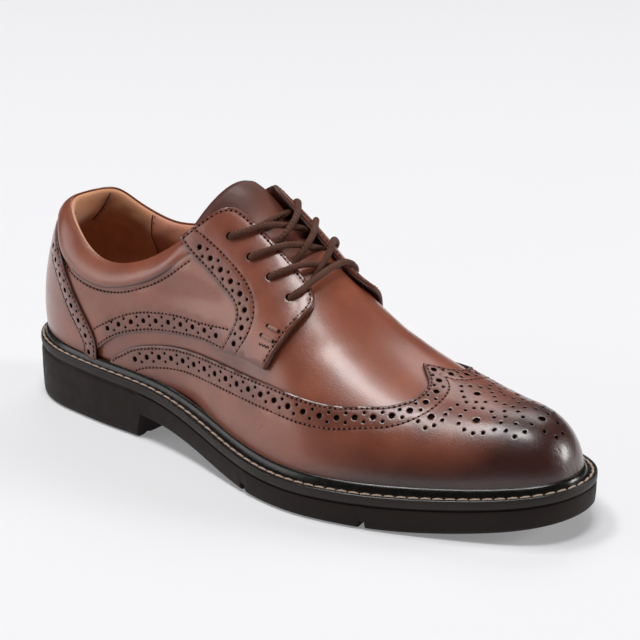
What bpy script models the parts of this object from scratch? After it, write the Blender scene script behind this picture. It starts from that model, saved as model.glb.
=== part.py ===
"""Right-foot wing-tip derby shoe: outsole, welt, insole, hollow upper, tongue, two facings and a lace.

Metres, +X to the toe, +Y to the inner (medial) side, +Z up. The sole stands on Z = 0.
"""
import bmesh
import bpy
import numpy as np

for old_object in list(bpy.data.objects):
    bpy.data.objects.remove(old_object)

MM = 0.001

# Sizes in millimetres.
LENGTH = 303.0
AXIS_Y = 4.24
GAP = 0.3
TINY = 0.001
NORMAL_STEP = 0.002
SHARP_ANGLE = 40.0

HEEL_REACH, HEEL_POWER = 37.9, 2.2
TOE_REACH, TOE_POWER = 81.8, 2.15

BREAST_X, BREAST_SLANT = -67.0, 2.5
ARCH_RISE, ARCH_END_X = 11.0, 22.0
SPRING_START_X, TOE_SPRING = 72.0, 10.0
NOTCH_PLACES_X, NOTCH_WIDTH, NOTCH_FLOOR, NOTCH_DEPTH = (11.0, 74.0), 3.6, 2.8, 2.6
FOOT_ROUND = 1.6
SOLE_WALL_SCALES = (0.996, 0.996, 0.994, 0.986)

WELT_THICK, WELT_BEVEL, BEAD_HIGH, BEAD_WIDE, BEAD_BROW = 4.0, 0.5, 2.8, 3.2, 0.8

WALL = 2.4
HEEL_MARGIN, TOE_MARGIN = 4.5, 6.3
TOE_DROP, TOE_DROP_POWER = 30.0, 2.2
TUCK_SHARE, TUCK_HIGH = 0.04, 6.0
LEAN_REACH, LEAN_POWER = 75.0, 1.5

ROLL_BAND, ROLL_OUT, ROLL_IN = 17.0, 1.5, 4.2
ROLL_FULL_X, ROLL_NONE_X = -64.0, -51.0

THROAT_HALF_TOP, THROAT_HALF_END = 10.6, 12.6
THROAT_TOP_X, THROAT_END_X, THROAT_ROUND = -25.0, 9.0, 12.0

INSOLE_THICK, INSOLE_EASE = 4.5, 0.7

TONGUE_BASE_X, TONGUE_TOP_X, TONGUE_TOP_DROP, TONGUE_TOP_POWER = 25.0, -30.5, 15.0, 1.3
TONGUE_HALF_BASE, TONGUE_HALF_TOP = 20.0, 36.0
TONGUE_THICK, TONGUE_EASE, TONGUE_STEPS = 2.4, 0.8, (15, 13)

FACING_THICK, FACING_EASE, FACING_STEPS = 1.6, 0.45, (19, 10)

LACE_RADIUS, LACE_TURN, LACE_LIFT, LACE_EASE = 1.5, 2.1, 3.6, 0.5
LEG_POINTS, TURN_POINTS = 8, 5
EYELET_ROWS_X, EYELET_GIRTH = (-25.3, -12.6, -0.6, 11.6), 26.0

# The outsole's half widths on each side of the foot's axis and the height of the welt's top, a row a section.
SOLE_COLUMNS = ("station", "lateral", "medial", "welt_top")
SOLE_ROWS = (
    (0.00, 29.5, 34.0, 30.4),
    (0.10, 32.3, 33.5, 28.8),
    (0.20, 36.0, 32.5, 27.9),
    (0.32, 38.5, 30.5, 25.9),
    (0.44, 46.5, 33.0, 19.9),
    (0.55, 56.0, 41.0, 15.5),
    (0.64, 59.0, 47.5, 14.8),
    (0.72, 55.0, 50.5, 15.3),
    (0.82, 46.5, 49.0, 16.8),
    (0.92, 41.5, 46.0, 20.2),
    (1.00, 43.0, 43.5, 24.6),
)

# The last's sections: welt left showing, place and height of the ridge, fullness of crown and side walls.
LAST_COLUMNS = ("station", "margin", "ridge_y", "ridge_z", "lateral_crown", "medial_crown", "wall")
LAST_ROWS = (
    (0.00, 4.5, 1.0, 126.0, 2.2, 2.2, 2.4),
    (0.10, 4.5, 0.5, 130.0, 2.2, 2.2, 2.3),
    (0.20, 5.0, 0.5, 136.0, 2.1, 2.1, 2.2),
    (0.30, 6.0, 2.0, 136.0, 2.0, 2.1, 2.0),
    (0.40, 7.0, 4.5, 123.0, 1.9, 2.3, 1.9),
    (0.48, 7.0, 5.5, 107.0, 1.9, 2.4, 1.9),
    (0.55, 7.0, 5.5, 90.8, 2.0, 2.3, 1.9),
    (0.62, 7.0, 5.0, 73.6, 2.1, 2.1, 1.9),
    (0.70, 7.0, 3.5, 59.8, 2.2, 2.2, 2.0),
    (0.80, 7.0, 3.0, 50.2, 2.3, 2.3, 2.1),
    (0.90, 6.7, 2.0, 48.0, 2.3, 2.3, 2.2),
    (1.00, 6.0, 0.5, 52.0, 2.3, 2.3, 2.2),
)

# How far the heel's back stands forward of its bottom edge, by height above that edge.
LEAN_COLUMNS = ("height", "forward")
LEAN_ROWS = (
    (0.0, 0.6),
    (8.0, -1.2),
    (20.0, -2.1),
    (34.0, -0.6),
    (50.0, 3.4),
    (64.0, 8.0),
    (120.0, 30.0),
)

# Height of the collar and of the facings' top edges above the floor.
TOPLINE_COLUMNS = ("x", "lateral", "medial")
TOPLINE_ROWS = (
    (-147.0, 96.0, 96.0),
    (-134.0, 93.2, 96.8),
    (-120.0, 87.0, 92.0),
    (-106.0, 80.4, 87.8),
    (-93.0, 77.8, 86.0),
    (-80.0, 79.4, 87.2),
    (-65.0, 85.6, 91.0),
    (-49.0, 97.0, 99.0),
    (-41.0, 104.2, 106.0),
    (-35.0, 109.6, 111.5),
    (-29.0, 112.4, 115.0),
    (-22.0, 118.0, 121.0),
)

# Facing outline from its top to its foot: place along the shoe and distance round from the axis, both edges.
FACING_COLUMNS = ("step", "rear_x", "rear_girth", "front_x", "front_girth")
FACING_ROWS = (
    (0.00, -48.3, 42.0, -28.5, 14.4),
    (0.12, -43.1, 45.6, -20.0, 12.1),
    (0.30, -33.2, 46.0, -4.0, 12.9),
    (0.50, -19.5, 46.5, 13.0, 13.7),
    (0.62, -10.6, 48.0, 20.4, 16.0),
    (0.72, -9.2, 50.5, 22.2, 22.6),
    (0.86, -10.4, 59.1, 19.6, 36.5),
    (1.00, -14.9, 70.5, 13.6, 57.8),
)

# The bead's profile from the welt's flat to the upper, in shares of its width and height.
BEAD_COLUMNS = ("across", "up")
BEAD_ROWS = (
    (0.00, 0.00),
    (0.20, 0.75),
    (0.55, 1.00),
    (1.00, BEAD_BROW),
)

# The lace's legs down the eyelets, across the foot and up again: eyelet rows, sides, and the turn left or met.
LEG_COLUMNS = ("row", "side", "next_row", "next_side", "leave", "arrive", "lift")
LEG_ROWS = (
    (0, -1, 1, 1, 1, -1, 0),
    (1, 1, 2, -1, 1, -1, 0),
    (2, -1, 3, 1, 1, -1, 0),
    (3, 1, 3, -1, 1, 1, 0),
    (3, -1, 2, 1, -1, 1, 1),
    (2, 1, 1, -1, -1, 1, 1),
    (1, -1, 0, 1, -1, 1, 1),
)

COLOURS = {
    "leather": ((0.235, 0.062, 0.033), 0.38),
    "tongue_leather": ((0.120, 0.034, 0.024), 0.34),
    "lining": ((0.360, 0.155, 0.075), 0.80),
    "sole_rubber": ((0.026, 0.020, 0.018), 0.60),
    "welt_rubber": ((0.016, 0.013, 0.012), 0.45),
    "lace_cord": ((0.090, 0.038, 0.024), 0.65),
}


def read(columns, rows):
    """Named columns of a table."""
    return {name: np.array(values, float) for name, values in zip(columns, zip(*rows))}


SOLE = read(SOLE_COLUMNS, SOLE_ROWS)
LAST = read(LAST_COLUMNS, LAST_ROWS)
LEAN = read(LEAN_COLUMNS, LEAN_ROWS)
TOPLINE = read(TOPLINE_COLUMNS, TOPLINE_ROWS)
FACING = read(FACING_COLUMNS, FACING_ROWS)


def smooth_through(places, values, at):
    """Natural cubic through a table's values, read at other places."""
    count = len(places)
    span = np.diff(places)
    system = np.eye(count)
    right = np.zeros(count)
    for k in range(1, count - 1):
        system[k, k - 1:k + 2] = span[k - 1], 2 * (span[k - 1] + span[k]), span[k]
        right[k] = 6 * ((values[k + 1] - values[k]) / span[k] - (values[k] - values[k - 1]) / span[k - 1])
    bend = np.linalg.solve(system, right)
    at = np.asarray(at, float)
    k = np.clip(np.searchsorted(places, at) - 1, 0, count - 2)
    after, before = at - places[k], places[k + 1] - at
    cubic = (bend[k] * before ** 3 + bend[k + 1] * after ** 3) / (6 * span[k])
    line = (values[k] / span[k] - bend[k] * span[k] / 6) * before
    return cubic + line + (values[k + 1] / span[k] - bend[k + 1] * span[k] / 6) * after


def station(x):
    return np.asarray(x, float) / LENGTH + 0.5


def sole_value(column, x):
    return smooth_through(SOLE["station"], SOLE[column], station(x))


def last_value(column, x):
    return smooth_through(LAST["station"], LAST[column], station(x))


def ease(value):
    """Soft step from 0 to 1."""
    value = np.clip(value, 0, 1)
    return value * value * (3 - 2 * value)


def round_end(distance, reach, power):
    """Share of the full width at a distance in from a rounded end."""
    lack = np.clip(1 - distance / reach, 0, 1)
    return (1 - lack ** power) ** (1 / power)


def plan_ends(x, heel_x, toe_x):
    return round_end(x - heel_x, HEEL_REACH, HEEL_POWER) * round_end(toe_x - x, TOE_REACH, TOE_POWER)


def sole_edge(x):
    """Lateral and medial edges of the outsole."""
    share = plan_ends(x, -LENGTH / 2, LENGTH / 2)
    return -sole_value("lateral", x) * share, sole_value("medial", x) * share


def welt_top(x):
    return sole_value("welt_top", x)


def underside(x):
    """Height of the sole's underside: heel, arch, flat tread, toe spring and flex notches."""
    x = np.asarray(x, float)
    past_breast = (x - BREAST_X) / (ARCH_END_X - BREAST_X)
    height = np.where(x > BREAST_X, ARCH_RISE * (1 - ease(past_breast)), 0.0)
    height = height + TOE_SPRING * np.clip((x - SPRING_START_X) / (LENGTH / 2 - SPRING_START_X), 0, 1) ** 2
    for place in NOTCH_PLACES_X:
        height = np.where(np.abs(x - place) < (NOTCH_FLOOR + NOTCH_WIDTH) / 4, height + NOTCH_DEPTH, height)
    return height


UPPER_HEEL_X = -LENGTH / 2 + HEEL_MARGIN
UPPER_TOE_X = LENGTH / 2 - TOE_MARGIN


def upper_x(run):
    """Place along the last for a run of 0 at the heel to 1 at the toe, close together at both round ends."""
    return UPPER_HEEL_X + (UPPER_TOE_X - UPPER_HEEL_X) * (1 - np.cos(np.pi * np.asarray(run, float))) / 2


def run_at(x):
    share = (np.asarray(x, float) - UPPER_HEEL_X) / (UPPER_TOE_X - UPPER_HEEL_X)
    return np.arccos(np.clip(1 - 2 * share, -1, 1)) / np.pi


def foot_z(x):
    """Height of the last's bottom edge, level with the underside of the welt."""
    return welt_top(x) - WELT_THICK


def rise(x):
    """Height of the ridge above the bottom edge."""
    drop = round_end(UPPER_TOE_X - x, TOE_DROP, TOE_DROP_POWER)
    return (last_value("ridge_z", x) - foot_z(x)) * drop


def half_section(x):
    """Lateral and medial extent of the last and the place of its ridge."""
    share = plan_ends(x, UPPER_HEEL_X, UPPER_TOE_X)
    margin = last_value("margin", x)
    lateral = -(sole_value("lateral", x) - margin) * share
    medial = (sole_value("medial", x) - margin) * share
    return lateral, medial, last_value("ridge_y", x) * share


def surface(run, angle):
    """Point of the last; the angle goes from 0 at the lateral foot over the ridge to pi at the medial foot."""
    run, angle = np.broadcast_arrays(np.asarray(run, float), np.asarray(angle, float))
    x = upper_x(run)
    lateral, medial, ridge_y = half_section(x)
    across, up = np.cos(angle), np.clip(np.sin(angle), 0, 1)
    on_lateral = across > 0
    side = np.where(on_lateral, lateral, medial)
    crown = np.where(on_lateral, last_value("lateral_crown", x), last_value("medial_crown", x))
    height = rise(x) * up ** (2 / last_value("wall", x))
    tuck = 1 - TUCK_SHARE * np.exp(-(height / TUCK_HIGH) ** 2)
    y = ridge_y + (side * tuck - ridge_y) * np.abs(across) ** (2 / crown)
    near_heel = np.clip(1 - (x - UPPER_HEEL_X) / LEAN_REACH, 0, 1) ** LEAN_POWER
    lean = smooth_through(LEAN["height"], LEAN["forward"], height) * near_heel
    return np.stack([x + lean, y, foot_z(x) + height], -1)


def skin(run, angle, offset):
    """Point a given distance out from the last along its normal."""
    run, angle, offset = np.broadcast_arrays(*(np.asarray(v, float) for v in (run, angle, offset)))
    step = NORMAL_STEP
    inner_run = np.clip(run, 0, 1 - step)
    before, after = np.clip(inner_run - step, 0, 1), np.clip(inner_run + step, 0, 1)
    below, above = np.clip(angle - step, 0, np.pi), np.clip(angle + step, 0, np.pi)
    along = surface(after, angle) - surface(before, angle)
    around = surface(inner_run, above) - surface(inner_run, below)
    normal = np.cross(along, around)
    normal = normal / np.linalg.norm(normal, axis=-1, keepdims=True)
    return surface(run, angle) + offset[..., None] * normal


def angle_at_height(x, z):
    """Lateral section angle at a height above the floor."""
    share = np.clip((z - foot_z(x)) / np.maximum(rise(x), TINY), 0, 1)
    return np.arcsin(share ** (last_value("wall", x) / 2))


def angle_at_y(x, y, side):
    """Section angle measured from the foot on one side, at a place y on that side of the ridge."""
    lateral, medial, ridge_y = half_section(x)
    reach = np.where(side < 0, lateral, medial) - ridge_y
    crown = last_value("lateral_crown" if side < 0 else "medial_crown", x)
    return np.arccos(np.clip((y - ridge_y) / reach, 0, 1) ** (crown / 2))


def angle_at_girth(x, girth):
    """Section angle at a distance round from the foot's axis, negative to the lateral side."""
    angles = np.linspace(0, np.pi, 361)
    points = surface(run_at(x), angles)
    length = np.concatenate([[0], np.cumsum(np.linalg.norm(np.diff(points, axis=0), axis=1))])
    axis_length = np.interp(0.0, points[:, 1], length)
    return float(np.interp(axis_length + girth, length, angles))


def top_angle(x, side):
    """Section angle, from the foot, of the upper's collar and throat edge on one side."""
    table_x = min(x, TOPLINE["x"][-1])
    edge_z = smooth_through(TOPLINE["x"], TOPLINE["lateral" if side < 0 else "medial"], table_x)
    collar = angle_at_height(x, edge_z)
    if x <= THROAT_TOP_X:
        return float(collar)
    if x >= THROAT_END_X:
        return np.pi / 2
    share = (x - THROAT_TOP_X) / (THROAT_END_X - THROAT_TOP_X)
    half = THROAT_HALF_TOP + (THROAT_HALF_END - THROAT_HALF_TOP) * share
    ridge_y = float(half_section(x)[2])
    open_share = round_end(THROAT_END_X - x, THROAT_ROUND, 2.0)
    throat = angle_at_y(x, ridge_y + (side * half - ridge_y) * open_share, side)
    return float(min(collar, throat))


class Solid:
    """Points and faces of one closed piece, in millimetres from the foot's axis."""

    def __init__(self):
        self.points = []
        self.faces = []

    def add(self, points):
        points = np.asarray(points, float)
        first = len(self.points)
        self.points.extend(points.reshape(-1, 3))
        return np.arange(first, len(self.points)).reshape(points.shape[:-1])

    def sheet(self, grid):
        """Faces over a grid of point numbers; corners that repeat are dropped."""
        grid = np.asarray(grid)
        for row in range(grid.shape[0] - 1):
            for column in range(grid.shape[1] - 1):
                below, above = grid[row, column:column + 2], grid[row + 1, column:column + 2]
                corners = (below[0], above[0], above[1], below[1])
                face = [int(c) for c, before in zip(corners, corners[-1:] + corners[:-1]) if c != before]
                if len(set(face)) > 2:
                    self.faces.append(face)

    def build(self, name, material, origin):
        """Mesh object with outward faces, its origin at a place in millimetres."""
        centre = np.array(origin, float)
        mesh = bpy.data.meshes.new(name)
        moved = (np.array(self.points) - centre) * MM
        mesh.from_pydata([tuple(p) for p in moved], [], self.faces)
        work = bmesh.new()
        work.from_mesh(mesh)
        loose = [vertex for vertex in work.verts if not vertex.link_faces]
        bmesh.ops.delete(work, geom=loose, context="VERTS")
        bmesh.ops.recalc_face_normals(work, faces=work.faces)
        work.to_mesh(mesh)
        work.free()
        mesh.polygons.foreach_set("use_smooth", [True] * len(mesh.polygons))
        mesh.set_sharp_from_angle(angle=np.radians(SHARP_ANGLE))
        mesh.materials.append(material)
        return place(name, mesh, centre)


def place(name, data, centre):
    piece = bpy.data.objects.new(name, data)
    piece.location = (centre + np.array([0.0, AXIS_Y, 0.0])) * MM
    bpy.context.scene.collection.objects.link(piece)
    return piece


def make_material(name):
    colour, roughness = COLOURS[name]
    material = bpy.data.materials.new(name)
    material.use_nodes = True
    shader = material.node_tree.nodes["Principled BSDF"]
    shader.inputs["Base Color"].default_value = (*colour, 1.0)
    shader.inputs["Roughness"].default_value = roughness
    shader.inputs["Metallic"].default_value = 0.0
    return material


MATERIALS = {name: make_material(name) for name in COLOURS}

STATION_COUNT = 41


def last_stations():
    """Places along the upper: close at the ends and round the foot of the throat."""
    even = upper_x(np.linspace(0, 1, STATION_COUNT))
    throat_start = THROAT_END_X - THROAT_ROUND
    turn = THROAT_END_X - THROAT_ROUND * (1 - np.sin(np.linspace(0, np.pi / 2, 6)))
    clear = (even < throat_start - 3) | (even > THROAT_END_X + 3)
    return np.sort(np.concatenate([even[clear], turn]))


STATIONS = last_stations()


def make_outsole():
    """Moulded sole with heel, arch and toe spring, in rings of points across the shoe."""
    across_shares = (0.5, 0.0, -0.5)
    half, floor_half = NOTCH_WIDTH / 2, NOTCH_FLOOR / 2
    stops = [BREAST_X, BREAST_X + BREAST_SLANT]
    for place_x in NOTCH_PLACES_X:
        stops += [place_x - half, place_x - floor_half, place_x + floor_half, place_x + half]
    even = LENGTH / 2 * -np.cos(np.linspace(0, np.pi, STATION_COUNT))
    clear = np.min(np.abs(even[:, None] - np.array(stops)[None]), axis=1) > half
    places = np.sort(np.concatenate([even[clear], stops]))
    solid = Solid()
    rings = []
    for x in places:
        bottom = float(underside(x))
        lateral, medial = sole_edge(x)
        walls = []
        for edge in (lateral, medial):
            wall = []
            for row, scale in enumerate(SOLE_WALL_SCALES):
                top = float(welt_top(x * scale)) - WELT_THICK - GAP
                heights = (top, (top + bottom) / 2, bottom + FOOT_ROUND, bottom)
                wall.append((x * scale, float(edge) * scale, heights[row]))
            walls.append(np.array(wall))
        if abs(x) > LENGTH / 2 - TINY:
            column = solid.add(walls[0])
            foot, head = [column[-1]] * len(across_shares), [column[0]] * len(across_shares)
            rings.append(np.concatenate([column, foot, column[::-1], head, column[:1]]))
            continue
        middle = (walls[0] + walls[1]) / 2
        reach = (walls[0] - walls[1]) / 2
        bottom_points = [middle[-1] + reach[-1] * share for share in across_shares]
        top_points = [middle[0] - reach[0] * share for share in across_shares]
        ring = solid.add(np.concatenate([walls[0], bottom_points, walls[1][::-1], top_points]))
        rings.append(np.concatenate([ring, ring[:1]]))
    solid.sheet(rings)
    return solid.build("outsole", MATERIALS["sole_rubber"], (0.0, 0.0, 0.0))


def make_welt():
    """Flat rim on the sole's edge with a raised bead against the upper, swept round the shoe."""
    solid = Solid()
    loops = []
    for side in (-1, 1):
        for x_upper in STATIONS if side < 0 else STATIONS[::-1]:
            run = run_at(x_upper)
            x_edge = -LENGTH / 2 * np.cos(np.pi * run)
            edge_y = sole_edge(x_edge)[0 if side < 0 else 1]
            edge = np.array([x_edge, edge_y, welt_top(x_edge)])
            brow_z = min(welt_top(x_upper) + BEAD_BROW * BEAD_HIGH, foot_z(x_upper) + rise(x_upper) / 3)
            low_angle, high_angle = 0.0, float(angle_at_height(x_upper, brow_z))
            if side > 0:
                low_angle, high_angle = np.pi - low_angle, np.pi - high_angle
            foot, brow = skin(run, low_angle, GAP), skin(run, high_angle, GAP)
            inner = np.array([brow[0], brow[1], welt_top(x_upper)])
            width = np.linalg.norm(inner[:2] - edge[:2])
            bead = 1 - BEAD_WIDE / width
            profile = [(0.0, -WELT_THICK), (0.0, -WELT_BEVEL), (WELT_BEVEL / width, 0.0)]
            profile += [(bead + (1 - bead) * across, BEAD_HIGH * up) for across, up in BEAD_ROWS]
            at_end = min(run, 1 - run) < TINY
            if at_end and side > 0:
                loops.append(loops[0] if run < 0.5 else loops[len(STATIONS) - 1])
                continue
            points = [edge + (inner - edge) * share + np.array([0, 0, up]) for share, up in profile]
            points.append(np.array([foot[0], foot[1], foot_z(x_upper)]))
            ring = solid.add(points)
            loops.append(np.concatenate([ring, ring[:1]]))
    solid.sheet(loops)
    return solid.build("welt", MATERIALS["welt_rubber"], (0.0, 0.0, float(welt_top(0.0))))


def make_insole():
    """Foot bed inside the upper, resting on the outsole."""
    inset = WALL + INSOLE_EASE
    across_shares = np.linspace(1, -1, 5)
    solid = Solid()
    rings = []
    for x in STATIONS:
        run = run_at(x)
        lateral, medial = skin(run, 0.0, -inset), skin(run, np.pi, -inset)
        at_end = min(run, 1 - run) < TINY
        middle, reach = (lateral + medial) / 2, (lateral - medial) / 2
        rows = []
        for height in (0.0, INSOLE_THICK):
            row = np.array([middle + reach * share for share in across_shares])
            row[:, 2] = foot_z(row[:, 0]) + height
            rows.append(row)
        if at_end:
            low, high = solid.add([rows[0][2], rows[1][2]])
            count = len(across_shares)
            rings.append(np.array([low] * count + [high] * count + [low]))
            continue
        ring = solid.add(np.concatenate([rows[0], rows[1][::-1]]))
        rings.append(np.concatenate([ring, ring[:1]]))
    solid.sheet(rings)
    return solid.build("insole", MATERIALS["lining"], (0.0, 0.0, float(foot_z(0.0))))


EDGE_SHARES = (0.0, 0.3, 1.0)
BODY_ROWS = 12


def wall_offsets(x, distance, edge_open):
    """Outer and inner distance from the last, going down from the edge: round rim, padded roll, wall."""
    roll = 1 - ease((x - ROLL_FULL_X) / (ROLL_NONE_X - ROLL_FULL_X))
    band = np.clip(distance / ROLL_BAND, 0, 1)
    outer = roll * ROLL_OUT * np.sin(np.pi * band) ** 0.8
    inner = -WALL - roll * ROLL_IN * (1 - ease(band))
    radius = (WALL + roll * ROLL_IN) / 2
    if not edge_open or distance >= radius:
        return outer, inner
    middle = (outer + inner) / 2
    swell = np.sqrt(1 - (1 - distance / radius) ** 2)
    return middle + (outer - middle) * swell, middle + (inner - middle) * swell


def upper_rows(x, side):
    """Section angles from the edge down to the foot and the distances of these rows from the edge."""
    top = top_angle(x, side)
    angles = np.linspace(top, 0, 81)
    mirrored = angles if side < 0 else np.pi - angles
    points = surface(run_at(x), mirrored)
    length = np.concatenate([[0], np.cumsum(np.linalg.norm(np.diff(points, axis=0), axis=1))])
    roll = 1 - ease((x - ROLL_FULL_X) / (ROLL_NONE_X - ROLL_FULL_X))
    radius = min((WALL + roll * ROLL_IN) / 2, length[-1] / 4)
    body = np.linspace(radius, length[-1], BODY_ROWS + 1)[1:]
    distances = np.concatenate([np.array(EDGE_SHARES) * radius, body])
    return np.interp(distances, length, mirrored), distances


def make_upper():
    """Hollow leather upper: outer and inner walls joined round the collar, the throat and the foot."""
    solid = Solid()
    grids = {}
    for side in (-1, 1):
        outer_grid, inner_grid = [], []
        for number, x in enumerate(STATIONS):
            run = run_at(x)
            at_heel, at_toe = number == 0, number == len(STATIONS) - 1
            edge_open = x <= THROAT_END_X + TINY
            if at_toe:
                if side < 0:
                    tip = solid.add([surface(1.0, 0.0), skin(1.0, 0.0, 0.0) - np.array([WALL, 0.0, 0.0])])
                    grids["tip"] = tip
                count = len(EDGE_SHARES) + BODY_ROWS
                outer_grid.append(np.full(count, grids["tip"][0]))
                inner_grid.append(np.full(count, grids["tip"][1]))
                continue
            angles, distances = upper_rows(x, side)
            offsets = np.array([wall_offsets(x, d, edge_open) for d in distances])
            outer = solid.add(skin(run, angles, offsets[:, 0]))
            inner = solid.add(skin(run, angles, offsets[:, 1]))
            if edge_open:
                inner[0] = outer[0]
            if side > 0:
                lateral_outer, lateral_inner = grids[-1]
                if at_heel:
                    outer, inner = lateral_outer[number], lateral_inner[number]
                elif x >= THROAT_END_X - TINY:
                    outer[0], inner[0] = lateral_outer[number][0], lateral_inner[number][0]
            outer_grid.append(outer)
            inner_grid.append(inner)
        grids[side] = (outer_grid, inner_grid)
        solid.sheet(outer_grid)
        solid.sheet(inner_grid)
        solid.sheet([[o[-1], i[-1]] for o, i in zip(outer_grid, inner_grid)])
    return solid.build("upper", MATERIALS["leather"], (0.0, 0.0, float(foot_z(0.0))))


def make_tongue():
    """Leather sheet under the throat, its foot lapped under the vamp and its top above the facings."""
    solid = Solid()
    outer_grid, inner_grid = [], []
    outer_offset = -WALL - TONGUE_EASE
    for along in np.linspace(0, 1, TONGUE_STEPS[0]):
        outer_row, inner_row = [], []
        half = TONGUE_HALF_BASE + (TONGUE_HALF_TOP - TONGUE_HALF_BASE) * along
        for across in np.linspace(-1, 1, TONGUE_STEPS[1]):
            top_x = TONGUE_TOP_X - TONGUE_TOP_DROP * abs(across) ** TONGUE_TOP_POWER
            x = TONGUE_BASE_X + (top_x - TONGUE_BASE_X) * along
            angle = angle_at_girth(x, half * across)
            outer_row.append(skin(run_at(x), angle, outer_offset))
            inner_row.append(skin(run_at(x), angle, outer_offset - TONGUE_THICK))
        outer_grid.append(solid.add(outer_row))
        inner_grid.append(solid.add(inner_row))
    close_slab(solid, np.array(outer_grid), np.array(inner_grid))
    return solid.build("tongue", MATERIALS["tongue_leather"], (TONGUE_BASE_X, 0.0, 80.0))


def close_slab(solid, outer, inner):
    """Two matching grids and the rim that joins them."""
    solid.sheet(outer)
    solid.sheet(inner)
    for grid_edge in (np.s_[0, :], np.s_[-1, :], np.s_[:, 0], np.s_[:, -1]):
        solid.sheet(np.stack([outer[grid_edge], inner[grid_edge]]))


def make_facing(name, side):
    """Eyelet facing that lies on the upper beside the throat, between two offsets of the last."""
    solid = Solid()
    outer_grid, inner_grid = [], []
    for step in np.linspace(0, 1, FACING_STEPS[0]):
        rear_x, rear_girth, front_x, front_girth = (
            float(smooth_through(FACING["step"], FACING[column], step)) for column in FACING_COLUMNS[1:])
        outer_row, inner_row = [], []
        for across in np.linspace(0, 1, FACING_STEPS[1]):
            x = rear_x + (front_x - rear_x) * across
            girth = rear_girth + (front_girth - rear_girth) * across
            angle = angle_at_girth(x, side * girth)
            outer_row.append(skin(run_at(x), angle, FACING_EASE + FACING_THICK))
            inner_row.append(skin(run_at(x), angle, FACING_EASE))
        outer_grid.append(solid.add(outer_row))
        inner_grid.append(solid.add(inner_row))
    close_slab(solid, np.array(outer_grid), np.array(inner_grid))
    return solid.build(name, MATERIALS["leather"], (0.0, side * EYELET_GIRTH, 80.0))


def lace_path():
    """One cord that zigzags down the eyelets, bars across at the foot and crosses itself on its way up."""
    rest = FACING_EASE + FACING_THICK + LACE_EASE + LACE_RADIUS
    spots = []
    for number, (row, side, next_row, next_side, leave, arrive, lift) in enumerate(LEG_ROWS):
        start_x = EYELET_ROWS_X[row] + leave * LACE_TURN
        end_x = EYELET_ROWS_X[next_row] + arrive * LACE_TURN
        for share in np.linspace(0, 1, LEG_POINTS):
            x = start_x + (end_x - start_x) * share
            girth = EYELET_GIRTH * (side + (next_side - side) * share)
            spots.append((x, girth, rest + lift * LACE_LIFT * np.sin(np.pi * share) ** 2))
        if number == len(LEG_ROWS) - 1:
            break
        for bend in np.linspace(0, np.pi, TURN_POINTS + 2)[1:-1]:
            x = EYELET_ROWS_X[next_row] + arrive * LACE_TURN * np.cos(bend)
            spots.append((x, next_side * (EYELET_GIRTH + LACE_TURN * np.sin(bend)), rest))
    return [skin(run_at(x), angle_at_girth(x, girth), offset) for x, girth, offset in spots]


def make_lace():
    path = np.array(lace_path())
    origin = np.array([EYELET_ROWS_X[-1], 0.0, 85.0])
    data = bpy.data.curves.new("lace", "CURVE")
    data.dimensions = "3D"
    data.bevel_depth = LACE_RADIUS * MM
    data.bevel_resolution = 2
    data.use_fill_caps = True
    spline = data.splines.new("POLY")
    spline.points.add(len(path) - 1)
    for spot, point in zip(spline.points, (path - origin) * MM):
        spot.co = (*point, 1.0)
    spline.use_smooth = True
    data.materials.append(MATERIALS["lace_cord"])
    return place("lace", data, origin)


make_outsole()
make_welt()
make_insole()
make_upper()
make_tongue()
make_facing("facing_lateral", -1)
make_facing("facing_medial", 1)
make_lace()
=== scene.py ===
"""Looks of the wing-tip derby shoe: leather panels, brogue holes, stitches, lace, welt, sole and studio."""

import math

import bmesh
import bpy
import numpy as np
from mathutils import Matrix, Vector, kdtree
from mathutils.geometry import delaunay_2d_cdt


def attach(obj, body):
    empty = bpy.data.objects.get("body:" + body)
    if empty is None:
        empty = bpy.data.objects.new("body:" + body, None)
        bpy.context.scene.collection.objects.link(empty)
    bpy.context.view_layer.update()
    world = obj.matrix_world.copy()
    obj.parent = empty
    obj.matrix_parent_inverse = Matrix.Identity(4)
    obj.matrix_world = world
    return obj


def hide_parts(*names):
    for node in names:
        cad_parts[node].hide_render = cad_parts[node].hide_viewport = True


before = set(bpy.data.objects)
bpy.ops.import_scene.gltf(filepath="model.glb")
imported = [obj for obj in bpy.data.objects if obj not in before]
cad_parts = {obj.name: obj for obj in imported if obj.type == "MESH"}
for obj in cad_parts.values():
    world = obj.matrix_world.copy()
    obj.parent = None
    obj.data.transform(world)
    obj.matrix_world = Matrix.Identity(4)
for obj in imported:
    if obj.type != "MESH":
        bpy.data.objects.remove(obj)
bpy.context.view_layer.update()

MM = 0.001

# The last and the sole, in millimetres, as in the part's own source.
LENGTH = 303.0
AXIS_Y = 4.24
TINY = 0.001
NORMAL_STEP = 0.002
HEEL_REACH, HEEL_POWER = 37.9, 2.2
TOE_REACH, TOE_POWER = 81.8, 2.15
BREAST_X, BREAST_SLANT = -67.0, 2.5
ARCH_RISE, ARCH_END_X = 11.0, 22.0
SPRING_START_X, TOE_SPRING = 72.0, 10.0
NOTCH_PLACES_X, NOTCH_WIDTH, NOTCH_FLOOR, NOTCH_DEPTH = (11.0, 74.0), 3.6, 2.8, 2.6
WELT_THICK = 4.0
WALL = 2.4
HEEL_MARGIN, TOE_MARGIN = 4.5, 6.3
TOE_DROP, TOE_DROP_POWER = 30.0, 2.2
TUCK_SHARE, TUCK_HIGH = 0.04, 6.0
LEAN_REACH, LEAN_POWER = 75.0, 1.5
ROLL_IN = 4.2
THROAT_HALF_TOP, THROAT_HALF_END = 15.5, 14.0
THROAT_TOP_X, THROAT_END_X, THROAT_ROUND = -25.0, 9.0, 12.0
INSOLE_THICK, INSOLE_EASE = 4.5, 0.7
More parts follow.
